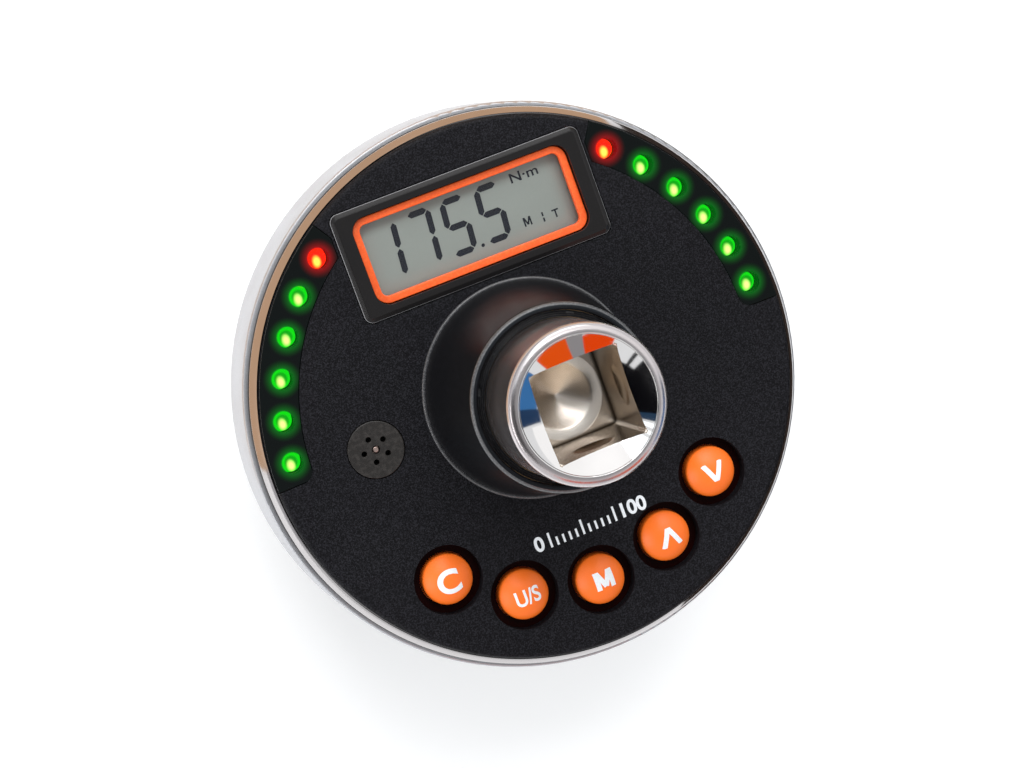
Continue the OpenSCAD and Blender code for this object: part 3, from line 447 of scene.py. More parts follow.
def finished_copy(node, width, over=30):
    """A merged copy of a CAD node with its sharp edges rounded."""
    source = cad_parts[node]
    piece = bpy.data.objects.new(node + "_finished", source.data.copy())
    bpy.context.scene.collection.objects.link(piece)
    piece.data.materials.clear()
    edit(piece)
    bpy.ops.mesh.remove_doubles(threshold=2e-6)
    bpy.ops.mesh.dissolve_limited(angle_limit=math.radians(0.4))
    bpy.ops.object.mode_set(mode="OBJECT")
    if width:
        return soften(piece, width, 2, over)
    return smooth(piece)


def own_copy(piece, name):
    """A copy of a piece with a mesh of its own."""
    other = piece.copy()
    other.data = piece.data.copy()
    other.name = name
    bpy.context.scene.collection.objects.link(other)
    return other


def moved(piece, x=0.0, y=0.0, z=0.0):
    """Moves a piece's mesh."""
    take(piece)
    bpy.ops.transform.translate(value=(x, y, z))
    return still(piece)


def mirrored(piece, name):
    """A copy on the other side of the tester's middle plane."""
    other = own_copy(piece, name)
    take(other)
    bpy.ops.transform.mirror(orient_type="GLOBAL", constraint_axis=(True, False, False),
                             center_override=(0, 0, 0))
    still(other)
    edit(other)
    bpy.ops.mesh.normals_make_consistent(inside=False)
    bpy.ops.object.mode_set(mode="OBJECT")
    return smooth(other)


def lettering(name, words, height, depth, weight=0.0, squeeze=1.0):
    """Words as a solid, with capitals of that height, centred on the origin."""
    deselect()
    bpy.ops.object.text_add()
    text = bpy.context.object
    text.name = name
    text.data.body = words
    text.data.align_x = "CENTER"
    text.data.align_y = "CENTER"
    text.data.offset = weight
    text.data.extrude = 0.5
    bpy.ops.object.convert(target="MESH")
    piece = bpy.context.object
    lowest, highest = extent(piece)
    size = height / (highest.y - lowest.y)
    piece.location = (-size * squeeze * (lowest.x + highest.x) / 2, -size * (lowest.y + highest.y) / 2, 0)
    piece.scale = (size * squeeze, size, depth)
    still(piece)
    edit(piece)
    return shut(piece)


# Strokes of a letter and an arrow head in a square of one unit round the origin
LETTER_M = ((-0.5, -0.6, -0.5, 0.6), (0.5, -0.6, 0.5, 0.6), (-0.5, 0.6, 0, -0.36), (0.5, 0.6, 0, -0.36))
ARROW = ((-0.5, -0.5, 0, 0.5), (0.5, -0.5, 0, 0.5))


def strokes(name, lines, width, height, stroke, bottom, top):
    """A sign drawn with straight strokes, trimmed to its height and centred on the origin."""
    sign = None
    for x0, y0, x1, y1 in lines:
        x0, x1 = (x * (width - stroke) for x in (x0, x1))
        y0, y1 = (y * height for y in (y0, y1))
        run = math.hypot(x1 - x0, y1 - y0)
        line = bar(name, (-run / 2, -stroke / 2, bottom), (run / 2, stroke / 2, top))
        line.rotation_euler.z = math.atan2(y1 - y0, x1 - x0)
        line.location = ((x0 + x1) / 2, (y0 + y1) / 2, 0)
        still(line)
        sign = combine(sign, line, "UNION") if sign else line
    return combine(sign, bar(name, (-width, -height / 2, bottom - MM), (width, height / 2, top + MM)),
                   "INTERSECT")


def drape(piece, target, skin):
    """Keeps the upper side of a sign and lays it on a target as a thin print."""
    edit(piece)
    pick(piece, "faces", lambda f: f.normal.z < 0.9)
    bpy.ops.mesh.delete(type="FACE")
    bpy.ops.mesh.select_all(action="SELECT")
    bpy.ops.mesh.quads_convert_to_tris()
    bpy.ops.mesh.subdivide(number_cuts=4)
    bpy.ops.object.mode_set(mode="OBJECT")
    modify(piece, "SHRINKWRAP", wrap_method="PROJECT", use_project_z=True, use_negative_direction=True,
           use_positive_direction=False, target=target, offset=skin)
    modify(piece, "SOLIDIFY", thickness=skin, offset=-1)
    edit(piece)
    shut(piece)
    return smooth(piece)


def extent(piece):
    """Lowest and highest corner of a mesh."""
    points = [v.co for v in piece.data.vertices]
    return (Vector(min(p[i] for p in points) for i in range(3)),
            Vector(max(p[i] for p in points) for i in range(3)))


def dress(piece, slot, body, *nodes, looks=()):
    """Gives a piece its finishes, its body and the CAD nodes that it stands for."""
    piece.data.materials.clear()
    for look in looks or (slot,):
        piece.data.materials.append(FINISHES[look])
    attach(piece, body)
    if nodes:
        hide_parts(*nodes)
    deselect()
    return piece


def paint(piece, which):
    """Gives every face of a piece the finish that a function of the face picks."""
    for face in piece.data.polygons:
        face.material_index = int(which(face))


# Every finish by its name
FINISHES = {}


# Shader helpers

def fill(tree, node, inputs):
    """Fills or links the inputs of a shader node."""
    for key, value in inputs.items():
        if isinstance(value, bpy.types.NodeSocket):
            tree.links.new(value, node.inputs[key])
        else:
            node.inputs[key].default_value = value
    return node


def put(tree, kind, inputs=None, **settings):
    """Adds a shader node and fills or links its inputs."""
    node = tree.nodes.new("ShaderNode" + kind)
    for key, value in settings.items():
        setattr(node, key, value)
    return fill(tree, node, inputs or {})


def reckon(tree, operation, first, second=0.0, third=0.0, clamp=False):
    """Output of a Math node."""
    return put(tree, "Math", {0: first, 1: second, 2: third}, operation=operation,
               use_clamp=clamp).outputs[0]


def span(tree, value, start, end, low_value, high_value, way="LINEAR"):
    """A value taken from one range to another."""
    return put(tree, "MapRange", {"Value": value, "From Min": start, "From Max": end, "To Min": low_value,
                                  "To Max": high_value}, interpolation_type=way).outputs[0]


def ramp(tree, value, start, end, low_value=0.0, high_value=1.0):
    """A smooth step of a value from one level to another."""
    return span(tree, value, start, end, low_value, high_value, "SMOOTHSTEP")


def distance(tree, x, y):
    """Distance of a point from the middle."""
    flat = put(tree, "CombineXYZ", {"X": x, "Y": y}).outputs[0]
    return put(tree, "VectorMath", {0: flat}, operation="LENGTH").outputs["Value"]


def place_in(tree):
    """Where a point lies in its piece: the vector and its three parts."""
    place = put(tree, "TexCoord").outputs["Object"]
    parts = put(tree, "SeparateXYZ", {"Vector": place}).outputs
    return place, parts["X"], parts["Y"], parts["Z"]


def blend_colours(tree, share, first, second):
    """A mix of two colours."""
    first, second = (c if isinstance(c, bpy.types.NodeSocket) else (*c[:3], 1) for c in (first, second))
    return put(tree, "Mix", {0: share, 6: first, 7: second}, data_type="RGBA").outputs[2]


def new_group(name, inputs, outputs):
    """An empty node group with named number inputs and named outputs."""
    group = bpy.data.node_groups.new(name, "ShaderNodeTree")
    for label, value in inputs.items():
        socket = group.interface.new_socket(label, in_out="INPUT", socket_type="NodeSocketFloat")
        socket.default_value = value
    for label, kind in outputs.items():
        group.interface.new_socket(label, in_out="OUTPUT", socket_type="NodeSocket" + kind)
    return group, group.nodes.new("NodeGroupInput"), group.nodes.new("NodeGroupOutput")


def grain_group():
    """Fine speckle of a textured or moulded surface: its height and a slow change of shade."""
    group, given, made = new_group("Grain", {"Scale": 3000.0, "Patch Scale": 60.0},
                                   {"Height": "Float", "Speckle": "Float", "Patch": "Float"})
    place = put(group, "TexCoord").outputs["Object"]
    fine = put(group, "TexNoise", {"Vector": place, "Scale": given.outputs["Scale"], "Detail": 3.0,
                                   "Roughness": 0.65}).outputs["Fac"]
    patch = put(group, "TexNoise", {"Vector": place, "Scale": given.outputs["Patch Scale"],
                                    "Detail": 4.0}).outputs["Fac"]
    fill(group, made, {"Height": fine, "Speckle": ramp(group, fine, 0.42, 0.68),
                       "Patch": ramp(group, patch, 0.3, 0.7)})
    return group


def turning_group():
    """Marks of a lathe tool round the torque axis, with a slow change of gloss."""
    group, given, made = new_group("Turning Marks", {"Scale": 9000.0, "Patch Scale": 90.0},
                                   {"Height": "Float", "Patch": "Float"})
    place, x, y, z = place_in(group)
    profile = put(group, "CombineXYZ", {"X": distance(group, x, y), "Y": z}).outputs[0]
    marks = put(group, "TexNoise", {"Vector": profile, "Scale": given.outputs["Scale"], "Detail": 2.0})
    patch = put(group, "TexNoise", {"Vector": place, "Scale": given.outputs["Patch Scale"], "Detail": 5.0})
    fill(group, made, {"Height": marks.outputs["Fac"], "Patch": patch.outputs["Fac"]})
    return group


def lamp_row_group():
    """Light that the lamps of both rows leave in the smoked windows over them."""
    group, given, made = new_group("Lamp Glow", {"Circle": 0.0369, "First": 0.0733, "Step": 0.1658,
                                                 "Last": 5.0, "Reach": 0.0026},
                                   {"Glow": "Float", "Red": "Float"})
    circle, first, step, last, reach = (given.outputs[i] for i in range(5))
    x, y = place_in(group)[1:3]
    x = reckon(group, "ABSOLUTE", x)
    turn = reckon(group, "SUBTRACT", reckon(group, "ARCTAN2", y, x), first)
    nearest = reckon(group, "MAXIMUM", reckon(group, "ROUND", reckon(group, "DIVIDE", turn, step)), 0.0)
    nearest = reckon(group, "MINIMUM", nearest, last)
    lamp = reckon(group, "MULTIPLY_ADD", nearest, step, first)
    lamp_x, lamp_y = (reckon(group, "MULTIPLY", reckon(group, wave, lamp), circle)
                      for wave in ("COSINE", "SINE"))
    away = distance(group, reckon(group, "SUBTRACT", x, lamp_x), reckon(group, "SUBTRACT", y, lamp_y))
    near = reckon(group, "SUBTRACT", 1.0, reckon(group, "DIVIDE", away, reach), clamp=True)
    beyond_green = reckon(group, "GREATER_THAN", nearest, reckon(group, "SUBTRACT", last, 0.5))
    fill(group, made, {"Glow": reckon(group, "POWER", near, 2.0), "Red": beyond_green})
    return group


def use(tree, group, **values):
    """Places a node group with its own values, named with underscores for spaces."""
    node = tree.nodes.new("ShaderNodeGroup")
    node.node_tree = group
    return fill(tree, node, {key.replace("_", " "): value for key, value in values.items()}).outputs


def finish(name, colour, metallic=0.0, roughness=0.5, **sockets):
    """A material with a Principled shader that holds its plain values, kept under its name."""
    material = FINISHES[name] = bpy.data.materials.new(name)
    material.use_nodes = True
    tree = material.node_tree
    values = {key.replace("_", " "): value for key, value in sockets.items()}
    return tree, fill(tree, tree.nodes["Principled BSDF"], {
        "Base Color": (*colour[:3], 1), "Metallic": metallic, "Roughness": roughness, **values})


def bump(tree, height, strength, depth):
    """A normal that a height tilts."""
    return put(tree, "Bump", {"Height": height, "Strength": strength, "Distance": depth}).outputs["Normal"]


def speckled(groups, name, colour, speck, roughness, scale, depth, strength=0.5, patch=0.12, metallic=0.0,
             **sockets):
    """A textured finish: fine raised grain whose tops are lighter, and slow patches of gloss."""
    tree, shader = finish(name, colour, metallic, roughness, **sockets)
    grain = use(tree, groups["grain"], Scale=scale, Patch_Scale=scale / 40)
    fill(tree, shader, {
        "Base Color": blend_colours(tree, grain["Speckle"], colour, speck),
        "Roughness": span(tree, grain["Patch"], 0.0, 1.0, roughness - patch / 2, roughness + patch / 2),
        "Normal": bump(tree, grain["Height"], strength, depth)})


def machined(groups, name, colour, roughness, scale=9000.0, depth=2e-6, strength=0.3, patch=0.06,
             metallic=1.0, shade=0.12, **sockets):
    """A turned or ground metal."""
    tree, shader = finish(name, colour, metallic, roughness, **sockets)
    marks = use(tree, groups["turning"], Scale=scale, Patch_Scale=140.0)
    darker = tuple(c * (1 - shade) for c in colour[:3])
    fill(tree, shader, {
        "Base Color": blend_colours(tree, marks["Patch"], darker, colour),
        "Roughness": span(tree, marks["Patch"], 0.3, 0.7, max(roughness - patch / 2, 0.02),
                          roughness + patch / 2),
        "Normal": bump(tree, marks["Height"], strength, depth)})


def socket_finish(groups, shaft):
    """Satin nickel inside the drive square, with painted light on its floor and painted shade on its sides
    and in the corners.
    """
    tree, shader = finish("socket_nickel", (0.72, 0.64, 0.54), 1.0, 0.26)
    grain = use(tree, groups["grain"], Scale=900.0, Patch_Scale=120.0)
    x, y, z = place_in(tree)[1:]
    across = reckon(tree, "MAXIMUM", reckon(tree, "ABSOLUTE", x), reckon(tree, "ABSOLUTE", y))
    half = shaft.socket_af / 2
    floor = HEAD_Z - shaft.socket_depth
    # Painted light and shade: the floor takes the lighter colours and the sides of the square the darker
    # ones.
    wall_shade = ramp(tree, across, half - 0.12 * MM, half - 0.02 * MM)
    # Painted shade where the floor meets the sides: a dark brown low down and close to the sides of the
    # square.
    floor_shade = ramp(tree, z, floor + 1.5 * MM, floor + 0.1 * MM)
    corner = reckon(tree, "MULTIPLY", floor_shade, ramp(tree, across, half - 0.75 * MM, half))
    light = blend_colours(tree, grain["Patch"], (0.82, 0.75, 0.67), (0.95, 0.89, 0.82))
    walls = blend_colours(tree, grain["Patch"], (0.38, 0.31, 0.24), (0.54, 0.46, 0.37))
    shade = blend_colours(tree, wall_shade, light, walls)
    fill(tree, shader, {"Base Color": blend_colours(tree, corner, shade, (0.13, 0.10, 0.07)),
                        "Normal": bump(tree, grain["Height"], 0.25, 3e-5)})


def lamp_light(name, light, core, dark):
    """A lit lamp seen from above: a bright ring, a darker disc and a long hot spot."""
    tree, shader = finish(name, tuple(0.1 * c for c in light), 0.0, 0.15, Specular_IOR_Level=0.12)
    place = put(tree, "SeparateXYZ", {"Vector": put(tree, "UVMap", uv_map="lamp").outputs[0]})
    u, v = place.outputs["X"], place.outputs["Y"]
    ground = blend_colours(tree, ramp(tree, distance(tree, u, v), 0.5, 0.74), dark, light)
    spot_u = reckon(tree, "DIVIDE", reckon(tree, "ADD", u, 0.12), 0.46)
    spot_v = reckon(tree, "DIVIDE", reckon(tree, "ADD", v, 0.3), 0.68)
    hot = ramp(tree, distance(tree, spot_u, spot_v), 1.15, 0.25)
    fill(tree, shader, {"Emission Color": blend_colours(tree, hot, ground, core), "Emission Strength": 2.2})


def clear_sheet(name, tint, roughness):
    """A thin clear sheet that only mirrors what Fresnel's law gives it."""
    tree, shader = finish(name, tint, 1.0, roughness)
    fill(tree, shader, {"Alpha": put(tree, "Fresnel", {"IOR": 1.46}).outputs[0]})


def smoked_sheet(groups, lamps):
    """The smoked windows: a dark gloss sheet that lets the lamps shine through, with their glow painted on it
    as emission.
    """
    tree, shader = finish("smoked_window", (0.002, 0.002, 0.0025), 0.0, 0.06, Specular_IOR_Level=0.18)
    row = {"Circle": lamps.circle_r, "First": lamps.first, "Step": lamps.step, "Last": lamps.in_row - 1.0}
    glow = use(tree, groups["lamp_row"], Reach=3.04 * MM, **row)
    clear = use(tree, groups["lamp_row"], Reach=1.9 * MM, **row)
    grain = use(tree, groups["grain"], Scale=900.0, Patch_Scale=50.0)
    hue = blend_colours(tree, glow["Red"], (0.001, 0.6, 0.025), (1.3, 0.01, 0.016))
    fill(tree, shader, {
        # Painted glow: the sheet emits red and green halos round the lamps and a faint green between them.
        "Emission Color": blend_colours(tree, glow["Glow"], (0.0006, 0.0026, 0.0018), hue),
        "Emission Strength": 1.0,
        "Alpha": ramp(tree, clear["Glow"], 0.0, 0.07, 0.97, 0.12),
        "Normal": bump(tree, grain["Height"], 0.03, 4e-6)})


def crystal(groups, ground):
    """The display's grey-green ground, a little uneven."""
    tree, shader = finish("display_panel", ground, 0.0, 0.45)
    grain = use(tree, groups["grain"], Scale=5200.0, Patch_Scale=70.0)
    warm = blend_colours(tree, grain["Patch"], tuple(0.95 * c for c in ground), ground)
    specks = reckon(tree, "MULTIPLY", grain["Speckle"], 0.1)
    fill(tree, shader, {"Base Color": blend_colours(tree, specks, warm, (0.62, 0.64, 0.6))})


def make_materials(scene):
    """Makes every finish of the tester, under the record's slot names and a few more."""
    c, lamps = scene.tester_colours, scene.tester_lamps
    g = {"grain": grain_group(), "turning": turning_group(), "lamp_row": lamp_row_group()}
    white, ground = tuple(c.print_white), tuple(scene.tester_stage.floor)
    machined(g, "chromed_steel", (0.80, 0.785, 0.78), 0.07, 6000, 1e-6, 0.08, 0.03)
    machined(g, "satin_chrome", (0.60, 0.56, 0.565), 0.25, 6000, 1e-6, 0.08, 0.04)
    socket_finish(g, scene.tester_shaft)
    machined(g, "steel_screw", (0.35, 0.35, 0.36), 0.32)
    speckled(g, "cast_aluminium", (0.46, 0.47, 0.495), (0.53, 0.54, 0.56), 0.42, 5200, 5e-6, 0.3, 0.08, 0.85)
    machined(g, "polished_aluminium", (0.5, 0.48, 0.48), 0.14, 5000, 3e-6, 0.2)
    speckled(g, "black_plate", tuple(c.plate), (0.02, 0.02, 0.0245), 0.5, 5200, 2e-5, 0.5, 0.1, 0.0,
             Specular_IOR_Level=0.1)
    # Near black painted into the rim's groove as its shadow.
    speckled(g, "line_black", (0.016, 0.014, 0.014), (0.024, 0.021, 0.021), 0.45, 4200, 2e-6, 0.1, 0.06, 0.0,
             Specular_IOR_Level=0.1)
    # The specular tint gives the collar's sheen a painted blue-grey cast.
    speckled(g, "black_collar", (0.003, 0.003, 0.0036), (0.007, 0.007, 0.0085), 0.34, 4200, 8e-6, 0.3, 0.08,
             0.0, Specular_IOR_Level=0.3, Specular_Tint=(0.75, 0.88, 1.0, 1.0))
    # Lighter black painted on the collar's bead and top edge as highlight lines.
    speckled(g, "collar_edge", (0.03, 0.031, 0.034), (0.09, 0.09, 0.095), 0.3, 4200, 2e-6, 0.1, 0.06, 0.0,
             Specular_IOR_Level=1.0)
    speckled(g, "black_bezel", tuple(c.bezel), (0.013, 0.012, 0.0122), 0.22, 4200, 4e-6, 0.2, 0.06, 0.0,
             Specular_IOR_Level=0.2)
    # Light grey painted along the bezel's edge as a highlight line.
    speckled(g, "worn_edge", (0.2, 0.2, 0.21), (0.26, 0.26, 0.27), 0.3, 4200, 4e-6, 0.2)
    speckled(g, "grille_black", (0.011, 0.0095, 0.0085), (0.026, 0.023, 0.021), 0.34, 1600, 8e-6, 0.4, 0.12)
    speckled(g, "black_case", (0.012, 0.012, 0.013), (0.026, 0.026, 0.028), 0.5, 2600, 4e-5, 0.5)
    speckled(g, "black_rubber", (0.006, 0.006, 0.007), (0.014, 0.014, 0.015), 0.2, 2400, 8e-6, 0.3)
    # Dark red painted into the wells of the black plate, as orange light from the buttons.
    speckled(g, "well_black", (0.009, 0.0008, 0.0005), (0.014, 0.001, 0.0006), 0.4, 3000, 1e-5, 0.3,
             Specular_IOR_Level=0.05)
    machined(g, "bronze", (0.72, 0.45, 0.22), 0.3)
    speckled(g, "gauge_film", (0.55, 0.32, 0.06), (0.7, 0.45, 0.12), 0.35, 2500, 6e-6)
    speckled(g, "flex_film", (0.6, 0.22, 0.03), (0.7, 0.34, 0.08), 0.35, 1800, 6e-6)
    speckled(g, "orange_trim", tuple(c.trim), (1.0, 0.15, 0.02), 0.42, 3400, 6e-6, 0.25)
    speckled(g, "orange_button", tuple(c.orange), (0.98, 0.18, 0.018), 0.42, 5200, 4e-6, 0.2, 0.06, 0.0,
             Specular_IOR_Level=0.35)
    clear_sheet("clear_window", (1, 1, 1), 0.02)
    crystal(g, tuple(c.liquid))
    speckled(g, "display_digits", tuple(c.digits), (0.006, 0.009, 0.024), 0.5, 4000, 2e-6, 0.2,
             Specular_IOR_Level=0.1)
    speckled(g, "connector_strip", (0.7, 0.35, 0.35), (0.8, 0.45, 0.45), 0.6, 2000, 1e-5)
    smoked_sheet(g, lamps)
    lamp_light("red_lamp", tuple(c.red), (1.0, 0.7, 0.08), (0.62, 0.012, 0.004))
    lamp_light("green_lamp", tuple(c.green), (0.62, 1.0, 0.2), (0.004, 0.19, 0.004))
    machined(g, "grille_pin", (0.62, 0.47, 0.42), 0.3, shade=0.3)
    speckled(g, "board_green", (0.005, 0.07, 0.022), (0.012, 0.12, 0.04), 0.35, 1400, 1e-5)
    speckled(g, "chip_black", (0.015, 0.015, 0.016), (0.03, 0.03, 0.032), 0.55, 3600, 2e-5)
    speckled(g, "white_plastic", (0.78, 0.78, 0.76), (0.86, 0.86, 0.84), 0.45, 2600, 1e-5)
    speckled(g, "cell_jacket", (0.12, 0.16, 0.2), (0.2, 0.25, 0.3), 0.3, 900, 4e-6, 0.2, 0.1, 0.5)
    machined(g, "contact_steel", (0.72, 0.72, 0.7), 0.22)
    speckled(g, "white_print", white, tuple(0.92 * w for w in white), 0.5, 4200, 4e-6, 0.2)
    speckled(g, "floor", ground, tuple(0.995 * f for f in ground), 0.9, 400, 1e-5, 0.05,
             Emission_Color=(1, 1, 1, 1), Emission_Strength=scene.tester_stage.floor_glow)


# Operators, one for each piece or group of like pieces

class TESTER_OT_finishes(bpy.types.Operator):
    """Make the shader groups and every finish of the tester"""
    bl_idname = "tester.finishes"
    bl_label = "Finishes"

    def execute(self, context):
        make_materials(context.scene)
        return {"FINISHED"}


class TESTER_OT_torque_shaft(bpy.types.Operator):
    """Turn the shaft, add its foot and flange, and cut the square socket and the gauge flats"""
    bl_idname = "tester.torque_shaft"
    bl_label = "Torque Shaft"

    SPIGOT_LOW, SPIGOT_HIGH = COVER_Z + 6 * MM, WEB_Z + 3 * MM
    BOLT_R, BOLT_X, BOLT_Y = 2.1 * MM, 8 * MM, 15.5 * MM
    DISH_STEPS = 16

    # Where the finishes change: the steel's inner radius below the head and its depth below the socket, and
    # the nickel's depth and radius as shares of the socket's depth and of the head's radius
    STEEL_R, STEEL_DEPTH = 9 * MM, 6 * MM
    NICKEL_DEPTH, NICKEL_R = 0.14, 0.84

    def execute(self, context):
        s = context.scene.tester_shaft
        head_low = low("shaft_seal").z - SEAL_PLAY
        journal_low = head_low - s.journal_h
        dish_r = (s.mouth_r + s.socket_af / 2) / 2 / math.sin(s.mouth_slope)
        dish_top = HEAD_Z + math.sqrt(dish_r ** 2 - s.mouth_r ** 2)
        crest = s.crest_r - s.mouth_r
        crown = [(s.crest_r + (s.head_r - s.crest_r) * math.cos(math.radians(a)),
                  HEAD_Z - s.crown_h + s.crown_h * math.sin(math.radians(a))) for a in range(0, 91, 5)]
        lip = arc(s.crest_r, HEAD_Z - crest, crest, 90, 155, 5)[1:]
        dish_from = lip[-1][0] - 0.05 * MM
        dish_to = 0.92 * s.socket_af / 2
        dish = [(r, dish_top - math.sqrt(dish_r ** 2 - r ** 2)) for r in
                (dish_from + (dish_to - dish_from) * i / self.DISH_STEPS for i in range(self.DISH_STEPS + 1))]
        outline = [(s.spigot_r, self.SPIGOT_LOW), (s.spigot_r, self.SPIGOT_HIGH),
                   (s.waist_r, self.SPIGOT_HIGH), (s.waist_r, journal_low), (s.journal_r, journal_low),
                   (s.journal_r, head_low), (s.head_r, head_low)] + crown + lip + dish
        shaft = turned("torque_shaft_turned", outline, segments=256, ring=False)
        flange = rod("flange", s.flange_r, WEB_Z - s.flange_t, WEB_Z, sides=128)
        half, reach = (s.foot_af + MM) / 2, 2 * s.flange_r
        combine(flange, bar("sides", (-half, -reach, 0), (half, reach, HEAD_Z)), "INTERSECT")
        combine(shaft, flange, "UNION")
        combine(shaft, self.foot(s), "UNION")
        socket_floor = HEAD_Z - s.socket_depth
        cut(shaft, slab("square", s.socket_af, s.socket_af, s.socket_corner, socket_floor, HEAD_Z + MM))
        groove_z = HEAD_Z - s.detent_depth
        groove = arc(s.detent_r - s.detent_tube, groove_z, s.detent_tube, -36, 36, 24)
        cut(shaft, turned("groove", groove, ring=False, segments=192))
        # The pilot's cone and rim, and the shallow ring round them
        wide = 0.955 * s.socket_af / 2
        pilot = [(0.1 * s.pilot_r, socket_floor - s.pilot_depth), (0.9 * s.pilot_r, socket_floor - 0.75 * MM),
                 (s.pilot_r, socket_floor - 0.55 * MM), (s.pilot_r + 0.4 * MM, socket_floor - 0.4 * MM),
                 (wide, socket_floor - 0.22 * MM), (wide, socket_floor + MM)]
        cut(shaft, turned("pilot", pilot, ring=False, segments=128))
        for a in range(0, 360, 90):
            side = bar("flat", (s.flat_r, -s.waist_r, s.flat_low), (2 * s.waist_r, s.waist_r, s.flat_high))
            cut(shaft, spun(side, math.radians(a)))
        for x in (-self.BOLT_X, self.BOLT_X):
            for y in (-self.BOLT_Y, self.BOLT_Y):
                cut(shaft, rod("bolt_hole", self.BOLT_R, WEB_Z - 2 * s.flange_t, WEB_Z + MM, x, y, 48))
        smooth(shaft, 28)
        dress(shaft, "chromed_steel", CASE, "torque_shaft",
              looks=("chromed_steel", "socket_nickel", "steel_screw", "satin_chrome"))
        paint(shaft, lambda face: self.finish_of(face, s, head_low))
        return {"FINISHED"}

    @staticmethod
    def foot(s):
        """The hexagonal foot, stepped in where it enters the rear cover."""
        corner = s.foot_af / 2 / math.cos(math.radians(30))
        foot = rod("foot", corner, 0, COVER_Z - s.foot_step, sides=6)
        edit(foot, "EDGE")
        pick(foot, "edges", lambda e: abs(middle(e).z) < 1e-6)
        bpy.ops.mesh.bevel(offset=s.foot_edge, segments=4, affect="EDGES")
        shut(foot)
        neck = rod("neck", corner - s.foot_step / math.cos(math.radians(30)), COVER_Z / 2,
                   WEB_Z - s.flange_t / 2, sides=6)
        return combine(foot, neck, "UNION")

    def finish_of(self, face, s, head_low):
        """0 in the chromed dish, 1 inside the socket, 2 on the steel below the head and 3 on its outside."""
        x, y, z = face.center
        out = math.hypot(x, y)
        below_head = z < head_low - 0.05 * MM and out > self.STEEL_R
        below_socket = z < HEAD_Z - s.socket_depth - self.STEEL_DEPTH
        if below_head or below_socket:
            return 2
        in_square = max(abs(x), abs(y)) < s.socket_af / 2 + 0.03 * MM
        in_groove = z < HEAD_Z - s.socket_depth * self.NICKEL_DEPTH and out < s.head_r * self.NICKEL_R
        if in_square or in_groove:
            return 1
        return 3 if out > s.crest_r else 0


class TESTER_OT_collar(bpy.types.Operator):
    """Turn the tapered collar and the dust seal"""
    bl_idname = "tester.collar"
    bl_label = "Collar and Seal"

    HOLE_R, HOLE_CIRCLE_R = 1.35 * MM, 16.85 * MM
    NOTCH_DEPTH, NOTCH_HALF_W = 0.42 * MM, 0.6 * MM
    WAVES, WAVE_H, WAVE_STEPS = 3, 0.16 * MM, 24

    def execute(self, context):
        self.collar(context.scene.tester_collar)
        self.seal(context.scene.tester_shaft.head_r + SEAL_PLAY,
                  context.scene.tester_collar.bore_r - SEAL_PLAY)
        return {"FINISHED"}

    def collar(self, s):
        """The tapered collar with the bead round its foot and its lower flange."""
        web, top = levels("front_collar")
        taper = math.atan((s.base_r - s.top_r) / (top - FACE_Z))
        edge_r = s.top_r + s.edge_r * (math.tan(taper) - 1 / math.cos(taper))
        bush_low = low("collar_bush").z
        lead, foot = 0.3 * MM, FACE_Z + 0.01 * MM
        outline = [(s.flange_r, web), (s.flange_r, web + s.flange_t), (s.skirt_r, web + s.flange_t),
                   (s.skirt_r, RIM_Z + MM), (s.base_r, RIM_Z + MM), (s.base_r, foot)]
        outline += arc(s.base_r + 0.1 * MM, foot, s.bead_r, 0, 125, 10)
        outline += arc(edge_r, top - s.edge_r, s.edge_r, math.degrees(taper), 90, 8)
        outline += [(s.bore_r + lead, top), (s.bore_r, top - lead), (s.bore_r, bush_low),
                    (s.skirt_in_r, bush_low), (s.skirt_in_r, web)]
        collar = turned("front_collar_turned", outline, segments=256)
        for a in range(45, 360, 90):
            x, y = (self.HOLE_CIRCLE_R * f(math.radians(a)) for f in (math.cos, math.sin))
            cut(collar, rod("hole", self.HOLE_R, web - MM, web + 2 * s.flange_t, x, y, 32))
        soften(collar, 0.12 * MM)
        dress(collar, "black_collar", CASE, "front_collar", looks=("black_collar", "collar_edge"))

        # Painted highlight: the bead round the collar's foot and its rounded top edge take a lighter,
        # glossier black.
        def takes_highlight(face):
            out, z = face.center.xy.length, face.center.z
            bead = out > s.base_r - 0.25 * MM and FACE_Z < z < FACE_Z + s.bead_r + 0.1 * MM
            top_edge = z > top - 0.6 * s.edge_r and face.normal.z < 0.95 and out > s.bore_r + 2 * lead
            return bead or top_edge

        paint(collar, takes_highlight)

    def seal(self, inner, outer):
        """The soft dust seal with its waved lip and four notches."""
        z0, z1 = levels("shaft_seal")
        lips = []
        for i in range(self.WAVE_STEPS + 1):
            wave = (1 - math.cos(self.WAVES * 2 * math.pi * i / self.WAVE_STEPS)) / 2
            lips.append((inner + (outer - inner) * i / self.WAVE_STEPS, z1 - self.WAVE_H * (wave + 0.5)))
        seal = turned("shaft_seal_turned", [(outer, z0)] + lips[::-1] + [(inner, z0)], segments=192)
        for a in (65, 155, 245, 335):
            notch = bar("notch", (outer - self.NOTCH_DEPTH, -self.NOTCH_HALF_W, z1 - 0.5 * MM),
                        (outer + self.NOTCH_DEPTH, self.NOTCH_HALF_W, z1 + MM))
            cut(seal, spun(notch, math.radians(a)))
        dress(soften(seal, 0.05 * MM, 2, 40), "black_rubber", CASE, "shaft_seal")


